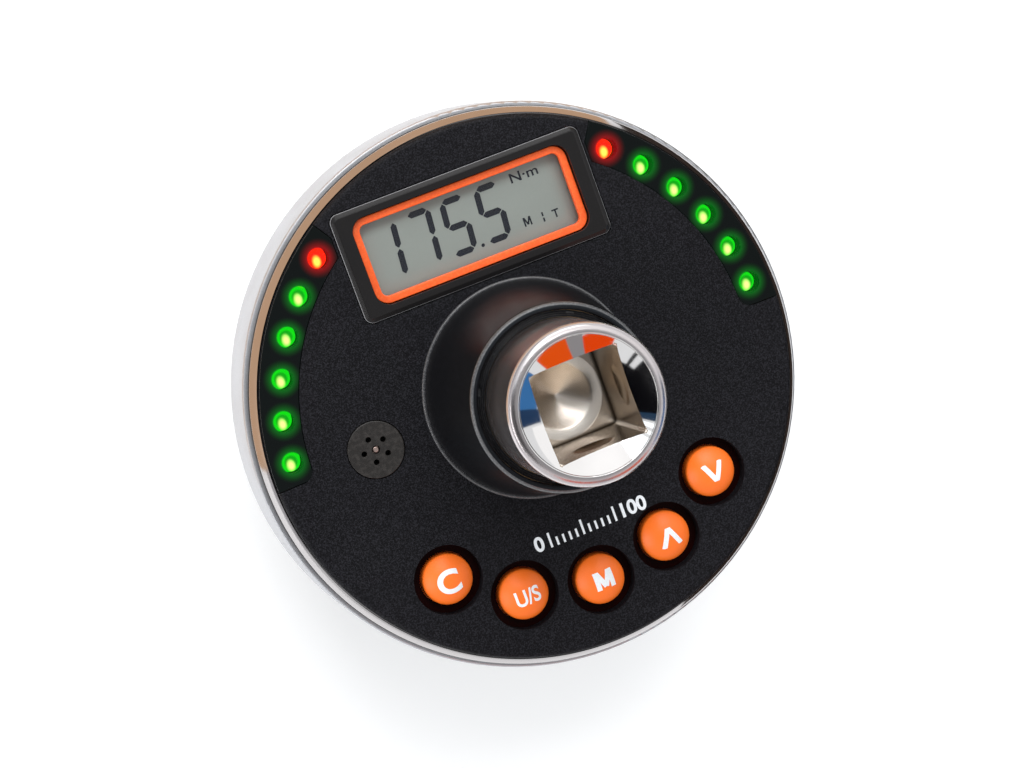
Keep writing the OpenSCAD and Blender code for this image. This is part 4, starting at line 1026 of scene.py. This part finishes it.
class TESTER_OT_rim(bpy.types.Operator):
    """Turn the polished rim"""
    bl_idname = "tester.rim"
    bl_label = "Polished Rim"

    GROOVE_W, LINE_H, EDGE_TURN = 0.3 * MM, 0.4 * MM, 1.2

    def execute(self, context):
        s = context.scene.tester_face
        top = RIM_Z + s.ledge_t
        centre = s.rim_r - s.rim_round
        lip_turn = math.degrees(math.acos((s.seat_r - centre) / s.rim_round))
        lip = arc(centre, RIM_Z, s.rim_round, math.degrees(s.groove_turn), lip_turn - self.EDGE_TURN, 20)
        lip_r, groove_top = lip[0]
        groove_r = lip_r - self.GROOVE_W
        outline = [(s.seat_r - s.ledge_w, top), (s.seat_r - s.ledge_w, RIM_Z), (groove_r, RIM_Z),
                   (groove_r, groove_top)]
        outline += lip + [(s.seat_r, lip[-1][1] - 0.04 * MM), (s.seat_r, top)]
        rim = turned("rim_ring_turned", outline, segments=384)
        smooth(rim, 30)
        dress(rim, "polished_aluminium", CASE, "rim_ring", looks=("polished_aluminium", "line_black"))
        # Painted shade: the groove and a thin band above it are painted near black, as the groove's shadow on
        # the polished aluminium.
        shade_top, shade_in = groove_top + self.LINE_H, lip_r - 1.5 * self.GROOVE_W
        paint(rim, lambda face: face.center.z < shade_top and face.center.xy.length > shade_in)
        return {"FINISHED"}


class TESTER_OT_face(bpy.types.Operator):
    """Finish the face plate and print its plain scale"""
    bl_idname = "tester.face"
    bl_label = "Face Plate"

    WELL_R, WELL_TOP = 5.15 * MM, FACE_Z - 0.15 * MM
    SCALE_Y, NUMBER_H = -22.2 * MM, 2.3 * MM
    TICKS, TICK_W, TICK_H, PITCH = 10, 0.34 * MM, 1.3 * MM, 1.05 * MM
    NUMBERS = (("0", -7.0 * MM), ("100", 8.4 * MM))

    def execute(self, context):
        plate = finished_copy("face_plate", 0.08 * MM, 40)
        dress(plate, "black_plate", CASE, "face_plate", looks=("black_plate", "well_black"))
        places = [place.xy for place in button_places(context.scene.tester_buttons)]

        # Faces in the wells take a painted dark red: orange light from the buttons falling into the wells.
        def in_well(face):
            near = min((face.center.xy - place).length for place in places)
            return face.center.z < self.WELL_TOP and near < self.WELL_R

        paint(plate, in_well)
        self.scale_print()
        return {"FINISHED"}

    def scale_print(self):
        """A plain scale of ticks under the collar, between its two end numbers."""
        foot, half_w = self.SCALE_Y - self.NUMBER_H / 2, self.TICK_W / 2
        marks = []
        for i in range(self.TICKS + 1):
            tall = self.TICK_H if i % 5 else self.NUMBER_H
            x = (i - self.TICKS / 2) * self.PITCH
            marks.append(bar("tick", (x - half_w, foot, FACE_Z), (x + half_w, foot + tall, FACE_Z + PRINT_T)))
        for words, x in self.NUMBERS:
            text = lettering("number", words, self.NUMBER_H, PRINT_T, 0.03)
            marks.append(moved(text, x, self.SCALE_Y, FACE_Z + PRINT_T / 2))
        dress(smooth(merge(marks, "scale_print")), "white_plastic", CASE, looks=("white_print",))


class TESTER_OT_grille(bpy.types.Operator):
    """Model the sound grille and the pin in its middle hole"""
    bl_idname = "tester.grille"
    bl_label = "Sound Grille"

    def execute(self, context):
        s = context.scene.tester_face
        x = (low("buzzer_grille").x + high("buzzer_grille").x) / 2
        z0 = FACE_Z - s.grille_t
        edge_r = 0.2 * MM
        outline = [(s.grille_r, z0)] + arc(s.grille_r - edge_r, FACE_Z - edge_r, edge_r, 0, 90, 4)
        grille = turned("buzzer_grille_turned", outline, x, 0, 96, ring=False)
        cut(grille, rod("middle", s.pin_hole_r, z0 - MM, FACE_Z + MM, x, 0, 32))
        for i in range(s.sound_count):
            a = math.pi + 2 * math.pi * i / s.sound_count
            cut(grille, rod("sound", s.sound_r, z0 - MM, FACE_Z + MM, x + s.sound_circle_r * math.cos(a),
                            s.sound_circle_r * math.sin(a), 24))
        dress(soften(grille, 0.06 * MM), "black_bezel", CASE, "buzzer_grille", looks=("grille_black",))
        pin_low, pin_top = levels("grille_rivet")
        pin_r, shank_r = 0.5 * MM, MM
        outline = [(shank_r, pin_low), (shank_r, z0), (pin_r, z0)]
        outline += arc(pin_r - edge_r, pin_top - edge_r, edge_r, 0, 90, 4) + [(0, pin_top)]
        pin = smooth(turned("grille_rivet_turned", outline, x, 0, 48, ring=False))
        dress(pin, "grille_pin", CASE, "grille_rivet")
        return {"FINISHED"}


class TESTER_OT_display(bpy.types.Operator):
    """Model the bezel, the coloured trim, the window and the liquid crystal panel with its reading"""
    bl_idname = "tester.display"
    bl_label = "Display"

    # Radius of the decimal point and its place beside and above the foot of a digit
    POINT_R, POINT_X, POINT_Y = 0.27 * MM, 0.12 * MM, 0.36 * MM

    # Gap and narrowing at the ends of a segment
    SEGMENT_GAP, SEGMENT_TIP = 0.13 * MM, 0.12

    # Letters, their height and place, squeeze and weight
    WORDS = (("N·m", 1.45 * MM, 10.5 * MM, 29.6 * MM, 1.25, 0.012),
             ("T", 1.25 * MM, 13.1 * MM, 22.5 * MM, 1.0, 0.02))

    def execute(self, context):
        s = context.scene.tester_display
        self.bezel(s)
        self.trim(s)
        self.panel(s)
        self.digits(s)
        self.words()
        return {"FINISHED"}

    @staticmethod
    def bezel(s):
        """The dark bezel with its bevel, and the ledge that the window rests on."""
        z0, z1 = levels("display_bezel")
        bezel = slab("display_bezel_moulded", s.bezel_w, s.bezel_h, s.bezel_corner, z0, z1 - s.bezel_rise, 0,
                     s.middle_y, 12)
        edit(bezel)
        pick(bezel, "faces", lambda f: f.normal.z > 0.9)
        bpy.ops.mesh.inset(thickness=s.bezel_bevel)
        bpy.ops.transform.translate(value=(0, 0, s.bezel_rise))
        shut(bezel)
        window_low = low("display_window").z
        for name, wider, bottom, top in (("opening", 0.1 * MM, window_low, z1 + MM),
                                         ("view", 0.3 * MM - s.trim_ring, z0 - MM, window_low + MM)):
            cut(bezel, slab(name, s.trim_w + 2 * wider, s.trim_h + 2 * wider, s.trim_corner + wider, bottom,
                            top, 0, s.middle_y))
        soften(bezel, 0.1 * MM, 3, 20)
        dress(bezel, "black_bezel", CASE, "display_bezel", looks=("black_bezel", "worn_edge"))
        # Painted highlight: faces along the bevel's outer edge take a light grey, for the bright line that
        # light draws there.
        edge_z = z1 - s.bezel_rise
        paint(bezel, lambda face: abs(face.center.z - edge_z) < 0.16 * MM and 0.05 < face.normal.z < 0.84)

    @staticmethod
    def trim(s):
        """The coloured ring and the clear window under it."""
        z0, z1 = levels("display_trim")
        trim = slab("display_trim_moulded", s.trim_w, s.trim_h, s.trim_corner, z0, z1, 0, s.middle_y, 12)
        cut(trim, slab("view", s.trim_w - 2 * s.trim_ring, s.trim_h - 2 * s.trim_ring,
                       s.trim_corner - s.trim_ring, z0 - MM, z1 + MM, 0, s.middle_y))
        dress(soften(trim, 0.14 * MM, 3), "orange_trim", CASE, "display_trim")
        w0, w1 = levels("display_window")
        window = slab("display_window_cut", s.trim_w, s.trim_h, s.trim_corner, w0, w1, 0, s.middle_y, 12)
        dress(soften(window, 0.05 * MM), "clear_window", CASE, "display_window")

    @staticmethod
    def panel(s):
        """The liquid crystal panel, with the step between its two glasses."""
        step_w, step_h = 0.9 * MM, 0.5 * MM
        panel = bar("lcd_panel_glass", *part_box("lcd_panel"))
        edit(panel)
        pick(panel, "faces", lambda f: f.normal.z < -0.9)
        bpy.ops.mesh.inset(thickness=step_w)
        bpy.ops.transform.translate(value=(0, 0, step_h))
        shut(panel)
        dress(soften(panel, 0.06 * MM), "display_panel", CASE, "lcd_panel")

    def segment(self, s, run, x, y, along_y):
        """One segment: a flat bar with pointed ends."""
        z = high("lcd_panel").z
        half = run / 2 - s.segment_w / 2 - self.SEGMENT_GAP
        piece = bar("segment", (-half, -s.segment_w / 2, z), (half, s.segment_w / 2, z + SEGMENT_T))
        edit(piece)
        for side in (-1, 1):
            pick(piece, "faces", lambda f: f.normal.x * side > 0.9)
            bpy.ops.mesh.extrude_region_move(
                TRANSFORM_OT_translate={"value": (side * s.segment_w / 2, 0, 0)})
            bpy.ops.transform.resize(value=(1, self.SEGMENT_TIP, 1), center_override=(0, 0, z))
        shut(piece)
        if along_y:
            piece.rotation_euler.z = math.radians(90)
        piece.location = (x, y, 0)
        return still(piece)

    def digits(self, s):
        """The reading in seven-segment figures, leaning to the right."""
        half_h = (s.digit_h - s.segment_w) / 2
        reach = s.digit_w - s.segment_w
        spots = {"A": (0, 2, False), "B": (1, 1.5, True), "C": (1, 0.5, True), "D": (0, 0, False),
                 "E": (-1, 0.5, True), "F": (-1, 1.5, True), "G": (0, 1, False)}
        lit = {"0": "ABCDEF", "1": "BC", "2": "ABGED", "3": "ABGCD", "4": "FGBC", "5": "AFGCD",
               "6": "AFGEDC", "7": "ABC", "8": "ABCDEFG", "9": "ABCDFG"}
        foot, z = s.digit_low + s.segment_w / 2, high("lcd_panel").z
        marks = []
        x = s.digit_right - s.digit_w / 2
        for figure in reversed(s.reading):
            if figure == ".":
                marks.append(rod("point", self.POINT_R, z, z + SEGMENT_T,
                                 x + s.digit_pitch / 2 + self.POINT_X, s.digit_low + self.POINT_Y, 24))
                continue
            for key in lit[figure]:
                across, up, along_y = spots[key]
                run = half_h if along_y else reach
                marks.append(self.segment(s, run, x + across * reach / 2, foot + up * half_h, along_y))
            x -= s.digit_pitch
        piece = merge(marks, "display_reading")
        slant = Matrix.Identity(4)
        slant[0][1] = math.tan(s.lean)
        slant[0][3] = -math.tan(s.lean) * (s.digit_low + s.digit_h / 2)
        piece.data.transform(slant)
        dress(smooth(piece), "display_panel", CASE, looks=("display_digits",))

    def words(self):
        """The unit and the small state letters of the display."""
        z = high("lcd_panel").z
        marks = []
        for words, height, x, y, squeeze, weight in self.WORDS:
            text = lettering("words", words, height, SEGMENT_T, weight, squeeze)
            marks.append(moved(text, x, y, z + SEGMENT_T / 2))
        marks.append(strokes("words", LETTER_M, 1.2 * MM, 1.35 * MM, 0.24 * MM, z, z + SEGMENT_T))
        moved(marks[-1], 8.65 * MM, 22.85 * MM)
        mark_x, mark_w, half_h = 11.0 * MM, 0.24 * MM, 0.31 * MM
        for y in (22.2 * MM, 23.05 * MM):
            marks.append(bar("mark", (mark_x, y - half_h, z), (mark_x + mark_w, y + half_h, z + SEGMENT_T)))
        dress(smooth(merge(marks, "display_words")), "display_panel", CASE, looks=("display_digits",))


def lamp_places(s, numbers):
    """Middles of the lamps on both sides."""
    for side in (1, -1):
        for i in numbers:
            a = s.first + i * s.step
            yield side * s.circle_r * math.cos(a), s.circle_r * math.sin(a)


class TESTER_OT_lamps(bpy.types.Operator):
    """Turn one lamp and set its copies in the two rows under their smoked windows"""
    bl_idname = "tester.lamps"
    bl_label = "Lamps and Windows"

    def execute(self, context):
        s = context.scene.tester_lamps
        top = high("green_lamps").z
        base = BOARD_Z + MM
        outline = [(s.flange_r, base), (s.flange_r, base + MM), (s.lamp_r, base + MM)]
        outline += arc(0, top - s.lamp_r, s.lamp_r, 0, 90, 12)
        lamp = turned("lamp", outline, segments=48, ring=False)
        lead, pitch = 0.25 * MM, 1.27 * MM
        leads = [bar("lead", (-lead, y - lead, BOARD_Z), (lead, y + lead, base)) for y in (-pitch, pitch)]
        lamp = smooth(merge([lamp] + leads, "lamp"))
        layer = lamp.data.uv_layers.get("lamp") or lamp.data.uv_layers.new(name="lamp")
        for loop in lamp.data.loops:
            spot = lamp.data.vertices[loop.vertex_index].co / s.lamp_r
            layer.data[loop.index].uv = (spot.x, spot.y)
        for node, slot, numbers in (("red_lamps", "red_lamp", [s.in_row - 1]),
                                           ("green_lamps", "green_lamp", range(s.in_row - 1))):
            copies = [moved(own_copy(lamp, "lamp_copy"), x, y) for x, y in lamp_places(s, numbers)]
            dress(merge(copies, node + "_turned"), slot, CASE, node)
        bpy.data.objects.remove(lamp)
        self.windows(s)
        return {"FINISHED"}

    @staticmethod
    def windows(s):
        """A window spun along its arc, trimmed beside the bezel and rounded at its inner corners."""
        z0, z1 = levels("lamp_window_right")
        pane = swept("lamp_window_right_cut", s.pane_in_r, s.pane_out_r, z0, z1, s.pane_low, s.pane_high)
        edit(pane)
        bpy.ops.mesh.bisect(plane_co=(low("lamp_window_right").x, 0, 0), plane_no=(1, 0, 0), use_fill=True,
                            clear_inner=True)
        shut(pane)
        edit(pane, "EDGE")

        def inner_corner(edge):
            spot = middle(edge)
            turn = math.atan2(spot.y, spot.x)
            at_end = min(abs(turn - s.pane_low), abs(turn - s.pane_high)) < 1e-4
            return upright(edge) and at_end and abs(math.hypot(spot.x, spot.y) - s.pane_in_r) < 1e-6

        pick(pane, "edges", inner_corner)
        bpy.ops.mesh.bevel(offset=s.pane_corner, segments=10, affect="EDGES", clamp_overlap=False)
        shut(pane)
        soften(pane, 0.08 * MM, 2, 40)
        other = mirrored(pane, "lamp_window_left_cut")
        dress(pane, "smoked_window", CASE, "lamp_window_right")
        dress(other, "smoked_window", CASE, "lamp_window_left")


def button_places(s):
    """Middles of the five buttons, from left to right."""
    return [Vector((s.circle_r * math.cos(a), s.circle_r * math.sin(a), 0))
            for a in (-math.pi / 2 + i * s.step for i in range(-2, 3))]


class TESTER_OT_buttons(bpy.types.Operator):
    """Turn one domed button, set its copies in their wells and print their legends"""
    bl_idname = "tester.buttons"
    bl_label = "Buttons"

    # Drawn legends: strokes, width and height in legend heights, and the place on the button
    DRAWN = {"up": (ARROW, 1.4, 1.16, 0.29 * MM, -0.12 * MM), "down": (ARROW, 1.4, 1.16, 0.13 * MM, 0.0),
             "memory": (LETTER_M, 1.2, 1.12, 0.24 * MM, 0.02 * MM)}

    # Written legends: letters, height in legend heights, squeeze, weight, and the place on the button
    WRITTEN = {"clear": ("C", 1.48, 1.06, 0.03, -0.18 * MM, -0.16 * MM),
               "units": ("U/S", 0.98, 0.84, 0.02, 0.21 * MM, -0.18 * MM)}

    def execute(self, context):
        s = context.scene.tester_buttons
        z0, top = levels("button_memory")
        cap = self.cap(s, z0, top)
        for key, place in zip(KEYS, button_places(s)):
            piece = moved(own_copy(cap, f"button_{key}_turned"), place.x, place.y)
            dress(piece, "orange_button", f"{key}_key", f"button_{key}")
            legend = self.legend(key, s, cap, top)
            moved(legend, place.x, place.y)
            dress(legend, "white_plastic", f"{key}_key", looks=("white_print",))
        bpy.data.objects.remove(cap)
        return {"FINISHED"}

    @staticmethod
    def cap(s, z0, top):
        """A cap with its flange and dome."""
        dome_r = (s.button_r ** 2 + s.shoulder ** 2) / (2 * s.shoulder)
        edge = 0.12 * MM
        half = math.degrees(math.asin((s.button_r - edge) / dome_r))
        outline = [(s.flange_r, z0), (s.flange_r, z0 + s.flange_t), (s.button_r, z0 + s.flange_t),
                   (s.button_r, top - s.shoulder - 0.05 * MM)]
        outline += arc(0, top - dome_r, dome_r, 90 - half, 90, 24)
        return smooth(turned("button", outline, segments=96, ring=False))

    def legend(self, key, s, cap, top):
        """The legend of a button, laid on its dome."""
        h, z = s.legend_h, top + MM
        if key in self.DRAWN:
            lines, wide, tall, x, y = self.DRAWN[key]
            piece = strokes("legend", lines, h * wide, h * tall, h * 0.3, z, z + MM)
        else:
            words, tall, squeeze, weight, x, y = self.WRITTEN[key]
            piece = moved(lettering("legend", words, h * tall, MM, weight, squeeze), 0, 0, z)
        if key == "down":
            spun(piece, math.pi)
        piece.name = f"legend_{key}"
        return drape(moved(piece, x, y), cap, PRINT_T)


class TESTER_OT_casing(bpy.types.Operator):
    """Finish the housing, the rear cover, the battery lids and every screw that shows"""
    bl_idname = "tester.casing"
    bl_label = "Casing"

    def execute(self, context):
        for node, width, slot, body in (
                ("housing", 0.08, "cast_aluminium", CASE),
                ("rear_cover", 0.12, "black_case", CASE),
                ("battery_lid_left", 0.12, "black_case", "lid_left"),
                ("battery_lid_right", 0.12, "black_case", "lid_right"),
                ("cover_screws", 0.06, "steel_screw", CASE),
                ("lid_screw_left", 0.06, "steel_screw", "lid_left"),
                ("lid_screw_right", 0.06, "steel_screw", "lid_right")):
            dress(finished_copy(node, width * MM, 35), slot, body, node)
        return {"FINISHED"}


class TESTER_OT_inner_parts(bpy.types.Operator):
    """Give every CAD part that stays its finish"""
    bl_idname = "tester.inner_parts"
    bl_label = "Inner Parts"

    SLOTS = {
        "steel_screw": ("flange_screws", "face_screws", "collar_screws", "board_screws"),
        "black_rubber": ("face_gasket", "rear_gasket"),
        "bronze": ("collar_bush",),
        "gauge_film": ("strain_gauges",),
        "flex_film": ("gauge_flex",),
        "connector_strip": ("lcd_connectors",),
        "chip_black": ("buzzer", "board_chips", "key_switches"),
        "board_green": ("main_board",),
        "cell_jacket": ("battery_left", "battery_right"),
        "contact_steel": ("positive_contacts", "negative_contacts"),
        "white_plastic": tuple("plunger_" + key for key in KEYS),
    }

    def execute(self, context):
        for name, nodes in self.SLOTS.items():
            for node in nodes:
                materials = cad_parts[node].data.materials
                materials.clear()
                materials.append(FINISHES[name])
        return {"FINISHED"}


class TESTER_OT_stage(bpy.types.Operator):
    """Set the floor, the soft lights, the cards that only reflections see, and the camera"""
    bl_idname = "tester.stage"
    bl_label = "Stage"

    BLACK = (0.002, 0.002, 0.003)
    PANE = (0.9, 0.96, 1.0)
    FAR, NEAR = 0.4, 0.085

    # Name, the directions a card spans seen from the head, its lowest and highest elevation, colour,
    # strength and distance
    CARDS = (
        ("warm_card_1", -77, -54, 16, 41, (0.93, 0.10, 0.006), 1.0, FAR),
        ("grey_card", -89, -77, 16, 46, (0.32, 0.31, 0.32), 1.0, FAR),
        ("warm_card_2", -114, -89, 24, 42, (0.93, 0.07, 0.004), 1.0, FAR),
        ("cool_card", -46, -23, 8, 33, (0.05, 0.19, 0.46), 1.0, FAR),
        ("cool_dark_card", -23, -12, 8, 36, (0.02, 0.05, 0.12), 1.0, FAR),
        ("dark_card_1", -205, -146, 30, 74, BLACK, 1.0, FAR),
        ("dark_card_2", -139, -135, 36, 74, BLACK, 1.0, FAR),
        ("dark_card_3", -146, -126, 48, 74, BLACK, 1.0, FAR),
        ("dark_blue_card", 146, 155, 38, 62, (0.02, 0.05, 0.10), 1.0, FAR),
        ("soft_card", 95, 205, -2, 24, (0.50, 0.50, 0.53), 1.0, FAR),
        ("window_1", 100, 106, 44, 58, PANE, 2.0, FAR),
        ("window_2", 110, 126, 44, 58, PANE, 2.0, FAR),
        ("window_3", 130, 134, 44, 58, PANE, 2.0, FAR),
        ("window_4", 138, 143, 44, 58, PANE, 2.0, FAR),
        ("white_card", -10, 98, 26, 60, (1.0, 1.0, 1.0), 1.2, FAR),
        ("near_tan_card", 45, 180, -42, -8, (0.92, 0.60, 0.38), 1.0, NEAR),
        ("near_dark_card", -70, 42, -42, -12, (0.05, 0.036, 0.03), 1.0, NEAR),
    )

    def execute(self, context):
        s = context.scene.tester_stage
        deselect()
        bpy.ops.mesh.primitive_plane_add(size=6)
        floor = bpy.context.object
        floor.name = "floor"
        floor.data.materials.append(FINISHES["floor"])
        self.surroundings(s)
        aim = Vector((0, 0, FACE_Z))
        self.lamp("key_light", (0.12, 0.62, 0.66), aim, 0.7, s.key)
        self.lamp("fill_light", (-0.75, -0.05, 0.42), aim, 0.5, s.fill)
        for card in self.CARDS:
            self.card(*card)
        self.camera(s)
        context.scene.view_settings.view_transform = "Standard"
        return {"FINISHED"}

    @staticmethod
    def surroundings(s):
        """White all round and dark above, so that the face stays deep black."""
        world = bpy.data.worlds.new("surroundings")
        bpy.context.scene.world = world
        world.use_nodes = True
        tree = world.node_tree
        up = put(tree, "SeparateXYZ", {"Vector": put(tree, "TexCoord").outputs["Generated"]}).outputs["Z"]
        fill(tree, tree.nodes["Background"], {"Strength": ramp(tree, up, 0.72, 0.93, s.sky, s.zenith),
                                              "Color": (0.97, 0.985, 1, 1)})

    @staticmethod
    def lamp(name, place, aim, size, power):
        """A square soft light that faces the tester."""
        deselect()
        place = Vector(place)
        bpy.ops.object.light_add(type="AREA", location=place)
        light = bpy.context.object
        light.name = name
        light.rotation_mode = "QUATERNION"
        light.rotation_quaternion = (aim - place).to_track_quat("-Z", "Y")
        light.data.size = size
        light.data.energy = power

    @staticmethod
    def card(name, start, end, lowest, highest, colour, strength, reach):
        """A curved card round the tester that only reflections see."""
        start, end, lowest, highest = (math.radians(a) for a in (start, end, lowest, highest))
        eye = HEAD_Z - 2 * MM
        card = swept(name, reach, reach + MM, eye + reach * math.tan(lowest), eye + reach * math.tan(highest),
                     start, end, 24)
        finish(name, (0, 0, 0), 0.0, 0.9, Specular_IOR_Level=0.0, Emission_Color=(*colour, 1),
               Emission_Strength=strength)
        card.data.materials.append(FINISHES[name])
        card.visible_camera = False
        card.visible_diffuse = False
        card.visible_shadow = False

    @staticmethod
    def camera(s):
        """The camera where the photograph was taken from, solved from the circles of the face."""
        place = Vector((-0.07282, 0.05606, 0.40781))
        right = Vector((0.91277, -0.33987, 0.22658))
        up = Vector((0.36306, 0.92922, -0.06877))
        back = Vector((-0.18717, 0.14504, 0.97156))
        data = bpy.data.cameras.new("camera")
        data.lens = s.lens
        data.sensor_width = 36
        camera = bpy.data.objects.new("camera", data)
        bpy.context.scene.collection.objects.link(camera)
        turn = Matrix((right, up, back)).transposed().to_4x4()
        camera.matrix_world = Matrix.Translation(place) @ turn
        bpy.context.scene.camera = camera


GROUPS = {"tester_shaft": ShaftSettings, "tester_collar": CollarSettings, "tester_face": FaceSettings,
          "tester_display": DisplaySettings, "tester_lamps": LampSettings, "tester_buttons": ButtonSettings,
          "tester_colours": ColourSettings, "tester_stage": StageSettings}
OPERATORS = (TESTER_OT_finishes, TESTER_OT_torque_shaft, TESTER_OT_collar, TESTER_OT_rim, TESTER_OT_face,
             TESTER_OT_grille, TESTER_OT_display, TESTER_OT_lamps, TESTER_OT_buttons, TESTER_OT_casing,
             TESTER_OT_inner_parts, TESTER_OT_stage)


class TESTER_PT_panel(bpy.types.Panel):
    """Panel that lists the settings and the operators"""
    bl_label = "Torque Tester"
    bl_idname = "TESTER_PT_panel"
    bl_space_type = "VIEW_3D"
    bl_region_type = "UI"
    bl_category = "Torque Tester"

    def draw(self, context):
        for name, group in GROUPS.items():
            box = self.layout.box()
            box.label(text=group.__doc__)
            settings = getattr(context.scene, name)
            for key in group.__annotations__:
                box.prop(settings, key)
        for operator in OPERATORS:
            self.layout.operator(operator.bl_idname)


def register():
    """Registers the settings, the operators and the panel."""
    for name, group in GROUPS.items():
        bpy.utils.register_class(group)
        setattr(bpy.types.Scene, name, PointerProperty(type=group))
    for operator in OPERATORS:
        bpy.utils.register_class(operator)
    bpy.utils.register_class(TESTER_PT_panel)


def unregister():
    """Takes everything back."""
    bpy.utils.unregister_class(TESTER_PT_panel)
    for operator in reversed(OPERATORS):
        bpy.utils.unregister_class(operator)
    for name, group in GROUPS.items():
        delattr(bpy.types.Scene, name)
        bpy.utils.unregister_class(group)


def main():
    """Registers the add-on and builds every piece in order."""
    register()
    for operator in OPERATORS:
        group, name = operator.bl_idname.split(".")
        getattr(getattr(bpy.ops, group), name)()


if __name__ == "__main__":
    main()
